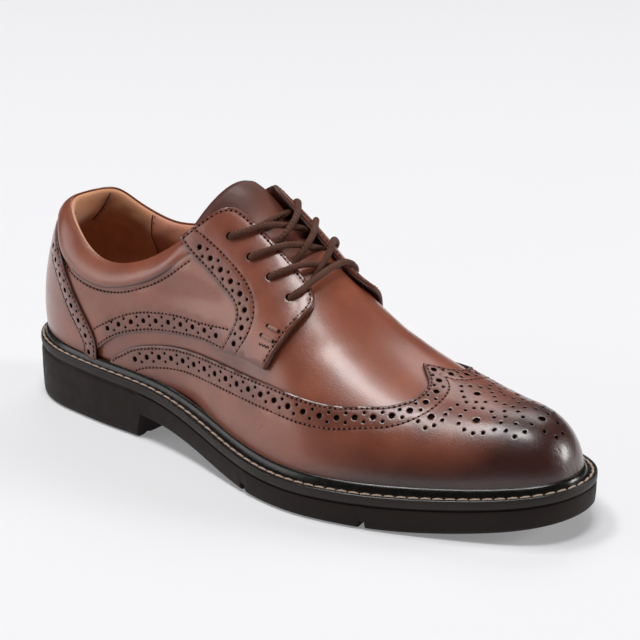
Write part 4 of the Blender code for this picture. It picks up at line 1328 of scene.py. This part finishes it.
def make_tongue():
    """Tongue with a soft crown and rounded edges, and painted shadow on its medial side under the far facing.
    """
    shape = Shape()
    outer_grid, inner_grid = [], []
    across = np.linspace(-1, 1, TONGUE_ACROSS)
    top_x = TONGUE_TOP_X - TONGUE_TOP_SLOPE * (np.hypot(across * TONGUE_HALF_TOP - TONGUE_TOP_Y, 4) - 4)
    middle = -WALL - TONGUE_EASE - TONGUE_THICK / 2
    for along in np.linspace(0, 1, TONGUE_STEPS):
        half = blend(TONGUE_HALF_BASE, TONGUE_HALF_TOP, along)
        x = blend(TONGUE_BASE_X, top_x, along)
        angle = [float(np.interp(half * a, girth_row(place), GIRTH_ANGLES)) for a, place in zip(across, x)]
        from_top = (1 - along) * TONGUE_RUN
        edge = np.minimum(from_top, (1 - np.abs(across)) * half)
        swell = TONGUE_THIN + (1 - TONGUE_THIN) * np.sqrt(1 - (1 - np.minimum(edge / TONGUE_ROUND, 1)) ** 2)
        crown = TONGUE_CROWN * math.exp(-(from_top - CROWN_PLACE) ** 2 / CROWN_REACH)
        crown = crown + TONGUE_WAVE * np.sin(along * 9 + across * 2)
        sag = -TONGUE_SAG * bell(across, SAG_WIDTH) * ease((SAG_END - along) / TONGUE_FADE)
        outer_row = skin(run_at(x), angle, middle + (TONGUE_THICK / 2 + crown + sag) * swell)
        shade = TOP_SHADE * ease((along - TOP_SHADE_START) / TOP_SHADE_REACH)
        shade = shade + RIM_SHADE * np.exp(-edge / RIM_SHADE_REACH)
        # Painted shadow under the medial facing.
        medial = ease((across * half - FACING_SHADOW_START) / FACING_SHADOW_REACH)
        shade = np.clip(shade + medial * ease((FACING_SHADOW_END - along) / TONGUE_FADE), 0, 1)
        outer_grid.append(shape.add(outer_row, burnish=shade))
        inner_grid.append(shape.add(skin(run_at(x), angle, middle - TONGUE_THICK / 2 * swell), burnish=0.2))
    outer, inner = np.array(outer_grid), np.array(inner_grid)
    shape.sheet(outer)
    shape.sheet(inner, 1)
    for grid_edge in (np.s_[0, :], np.s_[-1, :], np.s_[:, 0], np.s_[:, -1]):
        shape.sheet(np.stack([outer[grid_edge], inner[grid_edge]]))
    return shape.build("tongue_leather", (TONGUE_SKIN, LINING), "tongue", 60.0)


INSOLE_ACROSS, INSOLE_STATIONS, INSOLE_SIDE_SHADE, INSOLE_SHADE, INSOLE_RIM_PAINTED_SHADE = 21, 90, 0.4, 0.15, 0.5
CUP_DROP, CUP_HIGH, CUP_GROOVE, CUP_GROOVE_AT, CUP_GROOVE_WIDE = 0.5, 0.9, 0.35, 0.93, 0.025


def make_insole():
    """Leather sock on the foot bed, slightly cupped."""
    shape = Shape()
    inset = WALL + INSOLE_EASE
    shares = np.linspace(1, -1, INSOLE_ACROSS)
    rings = []
    stations = upper_x(np.linspace(0, 1, INSOLE_STATIONS))
    for number, x in enumerate(stations):
        run = float(run_at(x))
        lateral, medial = skin(run, 0.0, -inset), skin(run, np.pi, -inset)
        middle, reach = (lateral + medial) / 2, (lateral - medial) / 2
        if number in (0, len(stations) - 1):
            low, high = shape.add([middle, middle + [0, 0, INSOLE_THICK]], burnish=INSOLE_SIDE_SHADE)
            rings.append(np.array([low] * INSOLE_ACROSS + [high] * INSOLE_ACROSS + [low]))
            continue
        bottom = middle + reach * shares[:, None]
        top = bottom.copy()
        bottom[:, 2] = foot_z(bottom[:, 0])
        groove = CUP_GROOVE * bell(np.abs(shares) - CUP_GROOVE_AT, CUP_GROOVE_WIDE)
        cup = CUP_HIGH * np.abs(shares) ** 4 - groove
        top[:, 2] = foot_z(top[:, 0]) + INSOLE_THICK - CUP_DROP + cup
        # Painted shade towards the rim, where the sock meets the wall.
        wear_and_shade = INSOLE_SHADE + INSOLE_RIM_PAINTED_SHADE * np.abs(shares) ** 6
        shade = np.concatenate([np.full(INSOLE_ACROSS, INSOLE_SIDE_SHADE), wear_and_shade])
        rings.append(shape.ring(np.concatenate([bottom, top[::-1]]), burnish=shade))
    shape.sheet(rings)
    return shape.build("insole_sock", (SOCK,), "insole", 60.0)


# The welt's bead against the upper, the height of the upper it follows and the stitch channel's place.
BEAD_WIDE, BEAD_HIGH, BROW_HIGH, BEAD_GAP = 2.7, 2.9, 2.2, 0.15
CHANNEL_SHARE, CHANNEL_LEAST, CHANNEL_MOST = 0.52, 1.1, 2.6


def welt_sections():
    """Outer edge and upper's foot at matching places all round the shoe."""
    runs = np.linspace(0, 1, 161)
    for side in (LATERAL, MEDIAL):
        for run in runs if side < 0 else runs[-2:0:-1]:
            x_edge = -LENGTH / 2 * np.cos(np.pi * run)
            x_upper = float(upper_x(run))
            edge = np.array([x_edge, sole_edge(x_edge)[0 if side < 0 else 1], welt_top(x_edge)])
            brow_z = min(welt_top(x_upper) + BROW_HIGH, foot_z(x_upper) + rise(x_upper) / 3)
            angle = float(angle_at_height(x_upper, brow_z))
            inner = skin(run, from_lateral(angle, side), BEAD_GAP)
            yield edge, np.array([inner[0], inner[1], welt_top(x_upper)])


def make_welt():
    """Rim with a lighter side band, a stitch channel and a glossy bead against the upper."""
    shape = Shape()
    loops, line = [], []
    for edge, inner in welt_sections():
        flat = inner - edge
        width = np.linalg.norm(flat[:2])
        bead = width - BEAD_WIDE
        channel = min(max(bead * CHANNEL_SHARE, CHANNEL_LEAST), CHANNEL_MOST)
        profile = [
            (0.9, -WELT_THICK), (0.15, -WELT_THICK + 0.1), (0.0, -WELT_THICK + 0.5), (-0.05, -2.2),
            (0.0, -0.75), (0.2, -0.25), (0.6, 0.0), (channel - 0.75, 0.0), (channel - 0.5, -0.35),
            (channel + 0.5, -0.35), (channel + 0.75, 0.0), (bead, 0.0), (bead + 0.25, 0.9), (bead + 0.7, 1.9),
            (bead + 1.3, 2.6), (bead + 1.9, BEAD_HIGH), (bead + 2.4, 2.6), (width - 0.02, 1.6),
            (width + 0.3, -WELT_THICK),
        ]
        points = [edge + flat * (across / width) + np.array([0, 0, up]) for across, up in profile]
        loops.append(shape.ring(points))
        line.append(edge + flat * (channel / width) + np.array([0, 0, -0.3]))
    loops.append(loops[0])
    slots = [[1 if k < 5 else 0 for k in range(len(loops[0]) - 1)] for _ in loops]
    shape.sheet(loops, slots)
    shape.build("welt_rim", (WELT_BLACK, BAND_RUBBER), "welt", 50.0)
    return np.array(line)


SOLE_INSETS = ((0.9, 0.0), (0.95, 0.06), (0.35, 0.10), (0.15, 0.16), (0.2, 0.5), (0.5, 0.86))
SOLE_ROUND = ((0.75, 1.4), (1.2, 0.5), (2.2, 0.0))
TREAD_DEPTH, TREAD_WIDTH, TREAD_BORDER, UNDER_SHARE = 1.1, 1.5, 7.0, 1 - 0.02
SOLE_STATIONS, SOLE_ACROSS, SOLE_OVER, STATION_GAP, NOTCH_CLEAR, SOLE_GAP = 151, 27, 5, 0.7, 4, 0.05
BORDER_IN, BORDER_SHARE, BORDER_DEPTH = 2.0, 0.04, 0.8
TREAD_FORE = tuple(np.arange(24.0, 128.0, 6.2))
TREAD_HEEL = tuple(np.arange(-138.0, -74.0, 6.2))


def make_sole():
    """Moulded sole: groove under the welt band, heel, arch, flex notches and cross-cut tread."""
    half, floor_half = NOTCH_WIDTH / 2, NOTCH_FLOOR / 2
    stops = [BREAST_X, BREAST_X + BREAST_SLANT]
    for place in NOTCH_PLACES_X:
        stops += [place - half, place - floor_half, place + floor_half, place + half]
    grooves = [g for g in TREAD_FORE + TREAD_HEEL if min(abs(g - n) for n in NOTCH_PLACES_X) > NOTCH_CLEAR]
    for place in grooves:
        stops += [place + s * TREAD_WIDTH / 2 for s in (-1.25, -0.8, 0.8, 1.25)]
    even = LENGTH / 2 * -np.cos(np.linspace(0, np.pi, SOLE_STATIONS))
    clear_of = np.min(np.abs(even[:, None] - np.array(stops)[None]), axis=1) > STATION_GAP
    places = np.sort(np.concatenate([even[clear_of], stops]))
    across = np.linspace(1, -1, SOLE_ACROSS)
    outline = {}
    for number, turn in ((0, 1), (1, -1)):
        xy = np.array([(x, float(sole_edge(x)[number])) for x in places])
        ahead = np.gradient(xy, axis=0)
        outward = np.stack([ahead[:, 1], -ahead[:, 0]], -1) * turn
        outward[0], outward[-1] = (-1, 0), (1, 0)
        outline[number] = (xy, unit(outward))
    shape = Shape()
    rings = []
    for k, x in enumerate(places):
        bottom = float(underside(x))
        walls = []
        for number in (0, 1):
            xy, out = outline[number][0][k], outline[number][1][k]
            top = float(welt_top(xy[0])) - WELT_THICK - SOLE_GAP
            levels = [(inset, top - (top - bottom) * share) for inset, share in SOLE_INSETS]
            levels += [(inset, bottom + up) for inset, up in SOLE_ROUND]
            walls.append(np.array([(*(xy - out * inset), z) for inset, z in levels]))
        if k in (0, len(places) - 1):
            column = shape.add(walls[0])
            foot, head = [column[-1]] * SOLE_ACROSS, [column[0]] * SOLE_OVER
            rings.append(np.concatenate([column, foot, column[::-1], head, column[:1]]))
            continue
        middle, reach = (walls[0] + walls[1]) / 2, (walls[0] - walls[1]) / 2
        shares = across * UNDER_SHARE
        under = middle[-1] + reach[-1] * shares[:, None]
        width = np.linalg.norm(reach[-1])
        in_groove = min([abs(x - g) for g in grooves]) < TREAD_WIDTH / 2
        cut = (1 - np.abs(shares)) * width > TREAD_BORDER
        if in_groove:
            under[:, 2] += np.where(cut, TREAD_DEPTH, 0.0)
        border = np.abs((1 - np.abs(shares)) * width - TREAD_BORDER + BORDER_IN) < width * BORDER_SHARE
        under[:, 2] += np.where(border, BORDER_DEPTH, 0.0)
        over = middle[0] - reach[0] * np.linspace(0.8, -0.8, SOLE_OVER)[:, None]
        rings.append(shape.ring(np.concatenate([walls[0], under, walls[1][::-1], over])))
    shape.sheet(rings)
    return shape.build("sole_body", (SOLE_RUBBER,), "outsole", 32.0)


# One stitch: place along it, height and thickness, in shares of its length and radius.
STITCH_RINGS = (
    (-0.5, -0.9, 0.45), (-0.36, 0.15, 0.9), (0.0, 0.55, 1.0), (0.36, 0.15, 0.9), (0.5, -0.9, 0.45),
)
STITCH_SIDES, PIT_SIDES, PIT_HIGH, PIT_DEEP = 6, 6, 0.10, 0.25


def add_stitches(shape, centres, ahead, normal, length, radius, slot=0, slant=0.0):
    """Rows of little thread humps that dive into the leather at both ends."""
    ahead, normal = unit(ahead), unit(normal)
    across = np.cross(normal, ahead)
    ahead = unit(ahead + slant * across)
    across = np.cross(normal, ahead)
    rings = []
    for place, up, thick in STITCH_RINGS:
        heart = centres + ahead * (place * length) + normal * (up * radius)
        ring = [heart + (across * np.cos(t) + normal * np.sin(t) * 0.8) * (radius * thick)
                for t in circle(STITCH_SIDES)]
        rings.append(np.stack(ring, 1))
    for stitch in shape.add(np.stack(rings, 1)):
        for low, high in zip(stitch[:-1], stitch[1:]):
            for k in range(STITCH_SIDES):
                following = (k + 1) % STITCH_SIDES
                shape.face((low[k], low[following], high[following], high[k]), slot)
        shape.face(stitch[0][::-1], slot)
        shape.face(stitch[-1], slot)


def add_pits(shape, centres, ahead, normal, radius, slot):
    """Needle holes: small dark lenses between stitches, painted shadow of the holes."""
    ahead, normal = unit(ahead), unit(normal)
    across = np.cross(normal, ahead)
    ring = [centres + (ahead * np.cos(t) + across * np.sin(t)) * radius for t in circle(PIT_SIDES)]
    loops = shape.add(np.stack(ring, 1))
    top = shape.add(centres + normal * PIT_HIGH)
    low = shape.add(centres - normal * PIT_DEEP)
    for loop, high, deep in zip(loops, top, low):
        for a, b in zip(loop, np.roll(loop, -1)):
            shape.face((a, b, high), slot)
            shape.face((b, a, deep), slot)


PANEL_STITCH_LENGTH, PANEL_STITCH_RADIUS, PIT_RADIUS = 1.50, 0.32, 0.62


def make_panel_stitches():
    shape = Shape()
    for path, heights in STITCH_ROWS:
        ground = on_last(path, heights)
        normal = on_last(path, heights + 1.0) - ground
        ahead = np.gradient(ground, axis=0)
        add_stitches(shape, ground[1::2], ahead[1::2], normal[1::2], PANEL_STITCH_LENGTH, PANEL_STITCH_RADIUS)
        add_pits(shape, ground[::2] + 0.1 * unit(normal[::2]), ahead[::2], normal[::2], PIT_RADIUS, 1)
    return shape.build("panel_stitches", (CALF_THREAD, HOLE_SHADOW), "upper", 60.0)


WELT_STITCH_PITCH, WELT_STITCH_LENGTH, WELT_STITCH_RADIUS = 5.2, 5.3, 0.55


def make_welt_stitches(line):
    line = looped(line)
    length = length_along(line)
    count = int(length[-1] / WELT_STITCH_PITCH)
    at = np.linspace(0, length[-1], count, endpoint=False)

    def read_at(places):
        return along_line(places % length[-1], length, line)

    centres = read_at(at)
    ahead = read_at(at + 1.0) - read_at(at - 1.0)
    normal = np.tile([0.0, 0.0, 1.0], (count, 1))
    normal = normal - ahead * (dot(normal, ahead) / dot(ahead, ahead))[:, None]
    shape = Shape()
    add_stitches(shape, centres, ahead, normal, WELT_STITCH_LENGTH, WELT_STITCH_RADIUS, slant=0.10)
    return shape.build("welt_stitches", (PALE_THREAD,), "welt", 60.0)


LACE_RADIUS, LACE_SIDES, CORD_STEPS = 1.5, 14, 6


def add_tube(shape, path):
    """Round cord along a smooth line drawn by its guide points."""
    path = np.asarray(path, float)
    guide = np.concatenate([path[:1], path[:1], path, path[-1:], path[-1:]])
    points = []
    for k in range(len(guide) - 3):
        for t in np.linspace(0, 1, CORD_STEPS, endpoint=False):
            weights = ((1 - t) ** 3, 3 * t ** 3 - 6 * t ** 2 + 4,
                       -3 * t ** 3 + 3 * t ** 2 + 3 * t + 1, t ** 3)
            points.append(sum(w * g for w, g in zip(weights, guide[k:k + 4])) / 6)
    points = np.array(points)
    ahead = unit(np.gradient(points, axis=0))
    length = length_along(points)
    side = unit(np.cross(ahead[0], [0.0, 0.0, 1.0]))
    turn = circle(LACE_SIDES)
    rings = []
    for k in range(len(points)):
        side = unit(side - ahead[k] * dot(side, ahead[k]))
        other = np.cross(ahead[k], side)
        grow = LACE_RADIUS * (1 + 0.03 * math.sin(length[k] * 0.9) * math.sin(length[k] * 0.37 + 1))
        ring = points[k] + (np.cos(turn)[:, None] * side + np.sin(turn)[:, None] * other) * grow
        rings.append(shape.ring(ring, along=length[k], around=0.5 - 0.5 * np.cos(turn)))
    shape.sheet(rings)
    shape.face(rings[0][:-1][::-1])
    shape.face(rings[-1][:-1])


# Lace legs by place along the shoe, girth and height over the last; places from a near eyelet.
UNDER_LEG = (
    (0.0, -26.2, -3.5), (0.1, -26.0, -0.5), (0.5, -25.6, 2.4), (2.2, -23.5, 3.9), (5.5, -19.5, 3.7),
    (9.1, -13.8, 4.2), (12.3, -8.7, 3.4), (15.6, -3.4, 1.6), (18.4, 2.2, 0.0), (19.8, 7.0, -1.2),
    (20.6, 13.0, -2.2), (20.7, 18.0, -2.6),
)
OVER_LEG = (
    (-6.7, 19.2, -3.5), (-6.7, 19.0, -0.5), (-6.6, 18.6, 1.8), (-6.0, 16.8, 3.2), (-4.6, 13.6, 3.3),
    (-2.4, 10.2, 3.7), (0.6, 6.2, 4.3), (3.0, 2.3, 4.2), (4.5, -2.6, 3.2), (5.0, -7.0, 1.0),
    (5.0, -11.0, -1.0), (4.0, -15.0, -2.0), (2.0, -20.0, -2.6),
)
BAR_LEG = (
    (0.0, -26.2, -3.5), (0.1, -26.0, -0.5), (0.5, -25.4, 2.4), (1.6, -23.0, 3.9), (3.1, -19.4, 3.9),
    (4.2, -11.8, 4.5), (4.8, -2.6, 4.4), (4.9, 4.0, 4.3), (5.2, 8.4, 3.5), (5.6, 12.6, 2.6),
    (5.8, 16.6, 1.6), (5.8, 18.8, -0.6), (5.8, 19.0, -3.5),
)
TOP_LEG = (
    (3.3, -20.0, -2.6), (7.3, -14.5, -2.2), (10.1, -9.5, -1.6), (12.3, -4.4, -1.5), (13.4, 2.7, -1.5),
    (13.3, 8.0, -1.9), (11.3, 14.0, -2.5),
)
UNDER_SCALE, OVER_SHIFT, OVER_SHIFT_GIRTH = (1.15, 1.0, 0.83), (3.0, 0.0, -3.0), 18.0


def make_lace():
    """Round cord through the eyelets: two strands that cross three times, a bar below and one above."""
    shape = Shape()

    def leg(profile, row, scale=1.0, shift=0.0):
        points = []
        for ahead, girth, height in profile:
            x = EYELET_ROWS_X[row] + ahead * scale + shift * max(0.0, 1 - (girth / OVER_SHIFT_GIRTH) ** 2)
            angle = float(np.interp(girth, girth_row(x), GIRTH_ANGLES))
            points.append(skin(run_at(x), angle, height))
        add_tube(shape, points)

    for row in range(3):
        leg(UNDER_LEG, row, UNDER_SCALE[row])
        leg(OVER_LEG, row + 1, 1.0, OVER_SHIFT[row])
    leg(BAR_LEG, 3)
    leg(TOP_LEG, 0)
    return shape.build("lace_strands", (LACE_CORD,), "lace", 60.0)


# Bar tacks on each facing: ends by place and girth. A zigzag of dark thread stands below them.
TACKS = (((8.8, 42.0), (15.2, 39.8)), ((7.4, 47.2), (14.6, 44.8)))
TACK_HIGH, TACK_RADIUS, TACK_PIT, TACK_CLOSER = 0.35, 0.7, 0.95, -4.0
ZIGZAG_X, ZIGZAG_GIRTH, ZIGZAG_STEP, ZIGZAG_DROP, ZIGZAG_WIDE, ZIGZAG_POINTS = 7.4, 50.3, 0.9, 0.4, 1.6, 8
ZIGZAG_LENGTH, ZIGZAG_RADIUS = 1.7, 0.26


def make_tacks(tops):
    """Bar tacks of tan thread with their needle holes, and the zigzag below."""
    shape = Shape()
    for side, _ in SIDES:
        shift, closer = (0.0, 0.0) if side < 0 else (EYELET_SHIFT, TACK_CLOSER)
        for ends in TACKS:
            spots = by_girth([(x + shift, girth + closer) for x, girth in ends], side, True)
            points = on_last(spots, tops[side](spots)[0] + TACK_HIGH)
            middle = spots.mean(0, keepdims=True)
            normal = on_last(middle, 1.0) - on_last(middle)
            ahead = points[1:] - points[:1]
            length = float(np.linalg.norm(ahead))
            add_stitches(shape, points.mean(0, keepdims=True), ahead, normal, length, TACK_RADIUS)
            add_pits(shape, points, np.repeat(ahead, 2, 0), np.repeat(normal, 2, 0), TACK_PIT, 1)
        corners = [(ZIGZAG_X + ZIGZAG_STEP * k + shift,
                    ZIGZAG_GIRTH + closer - ZIGZAG_DROP * k + (ZIGZAG_WIDE if k % 2 else 0.0))
                   for k in range(ZIGZAG_POINTS)]
        zigzag = by_girth(corners, side, True)
        points = on_last(zigzag, tops[side](zigzag)[0])
        normal = on_last(zigzag, 1.0) - on_last(zigzag)
        add_stitches(shape, (points[:-1] + points[1:]) / 2, points[1:] - points[:-1], normal[:-1],
                     ZIGZAG_LENGTH, ZIGZAG_RADIUS, 2)
    return shape.build("bar_tacks", (TAN_THREAD, HOLE_SHADOW, DARK_THREAD_AND_GROOVE_SHADOW), "upper", 60.0)


# ---------------------------------------------------------------- studio

PHOTO_SIZE, FOCAL_PIXELS, SENSOR = 640, 2257.0, 36.0
CAMERA_AZIMUTH, CAMERA_ELEVATION, CAMERA_DISTANCE = 38.0, 20.0, 1.001
CAMERA_TARGET = (0.0114, 0.00424, 0.0645)


def aim(thing, target, azimuth, elevation, distance):
    """Stands a camera or light at a place round a target and turns it that way."""
    a, e = math.radians(azimuth), math.radians(elevation)
    toward = Vector((math.sin(a) * math.cos(e), -math.cos(a) * math.cos(e), math.sin(e)))
    thing.location = Vector(target) + toward * distance
    thing.rotation_mode = "QUATERNION"
    thing.rotation_quaternion = (-toward).to_track_quat("-Z", "Y")


def make_camera():
    data = bpy.data.cameras.new("camera")
    data.sensor_width = SENSOR
    data.lens = FOCAL_PIXELS * SENSOR / PHOTO_SIZE
    data.clip_start, data.clip_end = 0.05, 50.0
    camera = put("camera", data)
    aim(camera, CAMERA_TARGET, CAMERA_AZIMUTH, CAMERA_ELEVATION, CAMERA_DISTANCE)
    bpy.context.scene.camera = camera


# Softboxes: name, azimuth, elevation, distance, width, height, power.
LIGHTS = (
    ("top_box", 30.0, 79.0, 5.00, 1.60, 1.35, 110.0),
    ("cap_box", -66.0, 70.0, 3.00, 1.20, 0.62, 33.0),
    ("left_box", -52.0, 16.0, 3.00, 2.00, 1.50, 20.0),
    ("right_strip", 125.0, 18.0, 2.60, 0.80, 0.80, 29.0),
    ("back_box", -155.0, 46.0, 4.00, 2.40, 1.50, 28.0),
)
LIGHT_TARGET = (0.0, 0.0, 0.06)
AIR_COLOUR, AIR_STRENGTH = (0.96, 0.96, 0.98, 1.0), 0.05
FLOOR_SIZE, FLOOR_Z, FLOOR_GLOW = 30.0, -0.0002, 0.215


def make_studio():
    for name, azimuth, elevation, distance, width, height, power in LIGHTS:
        data = bpy.data.lights.new(name, "AREA")
        data.shape = "RECTANGLE"
        data.size, data.size_y, data.energy = width, height, power
        aim(put(name, data), LIGHT_TARGET, azimuth, elevation, distance)
    world = bpy.data.worlds.new("studio_air")
    world.use_nodes = True
    air = world.node_tree.nodes["Background"]
    air.inputs["Color"].default_value = AIR_COLOUR
    air.inputs["Strength"].default_value = AIR_STRENGTH
    bpy.context.scene.world = world
    mesh = bpy.data.meshes.new("floor")
    s = FLOOR_SIZE / 2
    corners = [(x, y, FLOOR_Z) for x, y in ((-s, -s), (s, -s), (s, s), (-s, s))]
    mesh.from_pydata(corners, [], [(0, 1, 2, 3)])
    n = Nodes("pale_floor")
    colour = n.mix(n.noise(3.0, 2), (0.64, 0.64, 0.652), (0.66, 0.66, 0.672))
    n.finish(colour, n.span(n.noise(20), 0, 1, 0.7, 0.8), Emission_Color=(0.98, 0.98, 1.0, 1.0),
             Emission_Strength=FLOOR_GLOW)
    mesh.materials.append(n.material)
    floor = put("floor", mesh)


bpy.context.scene.view_settings.view_transform = "Standard"
make_camera()
make_lace()
make_sole()
make_welt_stitches(make_welt())
make_insole()
make_shell()
make_lining_seams()
make_tongue()
make_wing()
make_counter()
TOPS = {}
for SIDE, LABEL in SIDES:
    make_quarter(SIDE, LABEL)
    TOPS[SIDE] = make_facing(SIDE, LABEL)
make_roll()
make_panel_stitches()
make_tacks(TOPS)
make_studio()
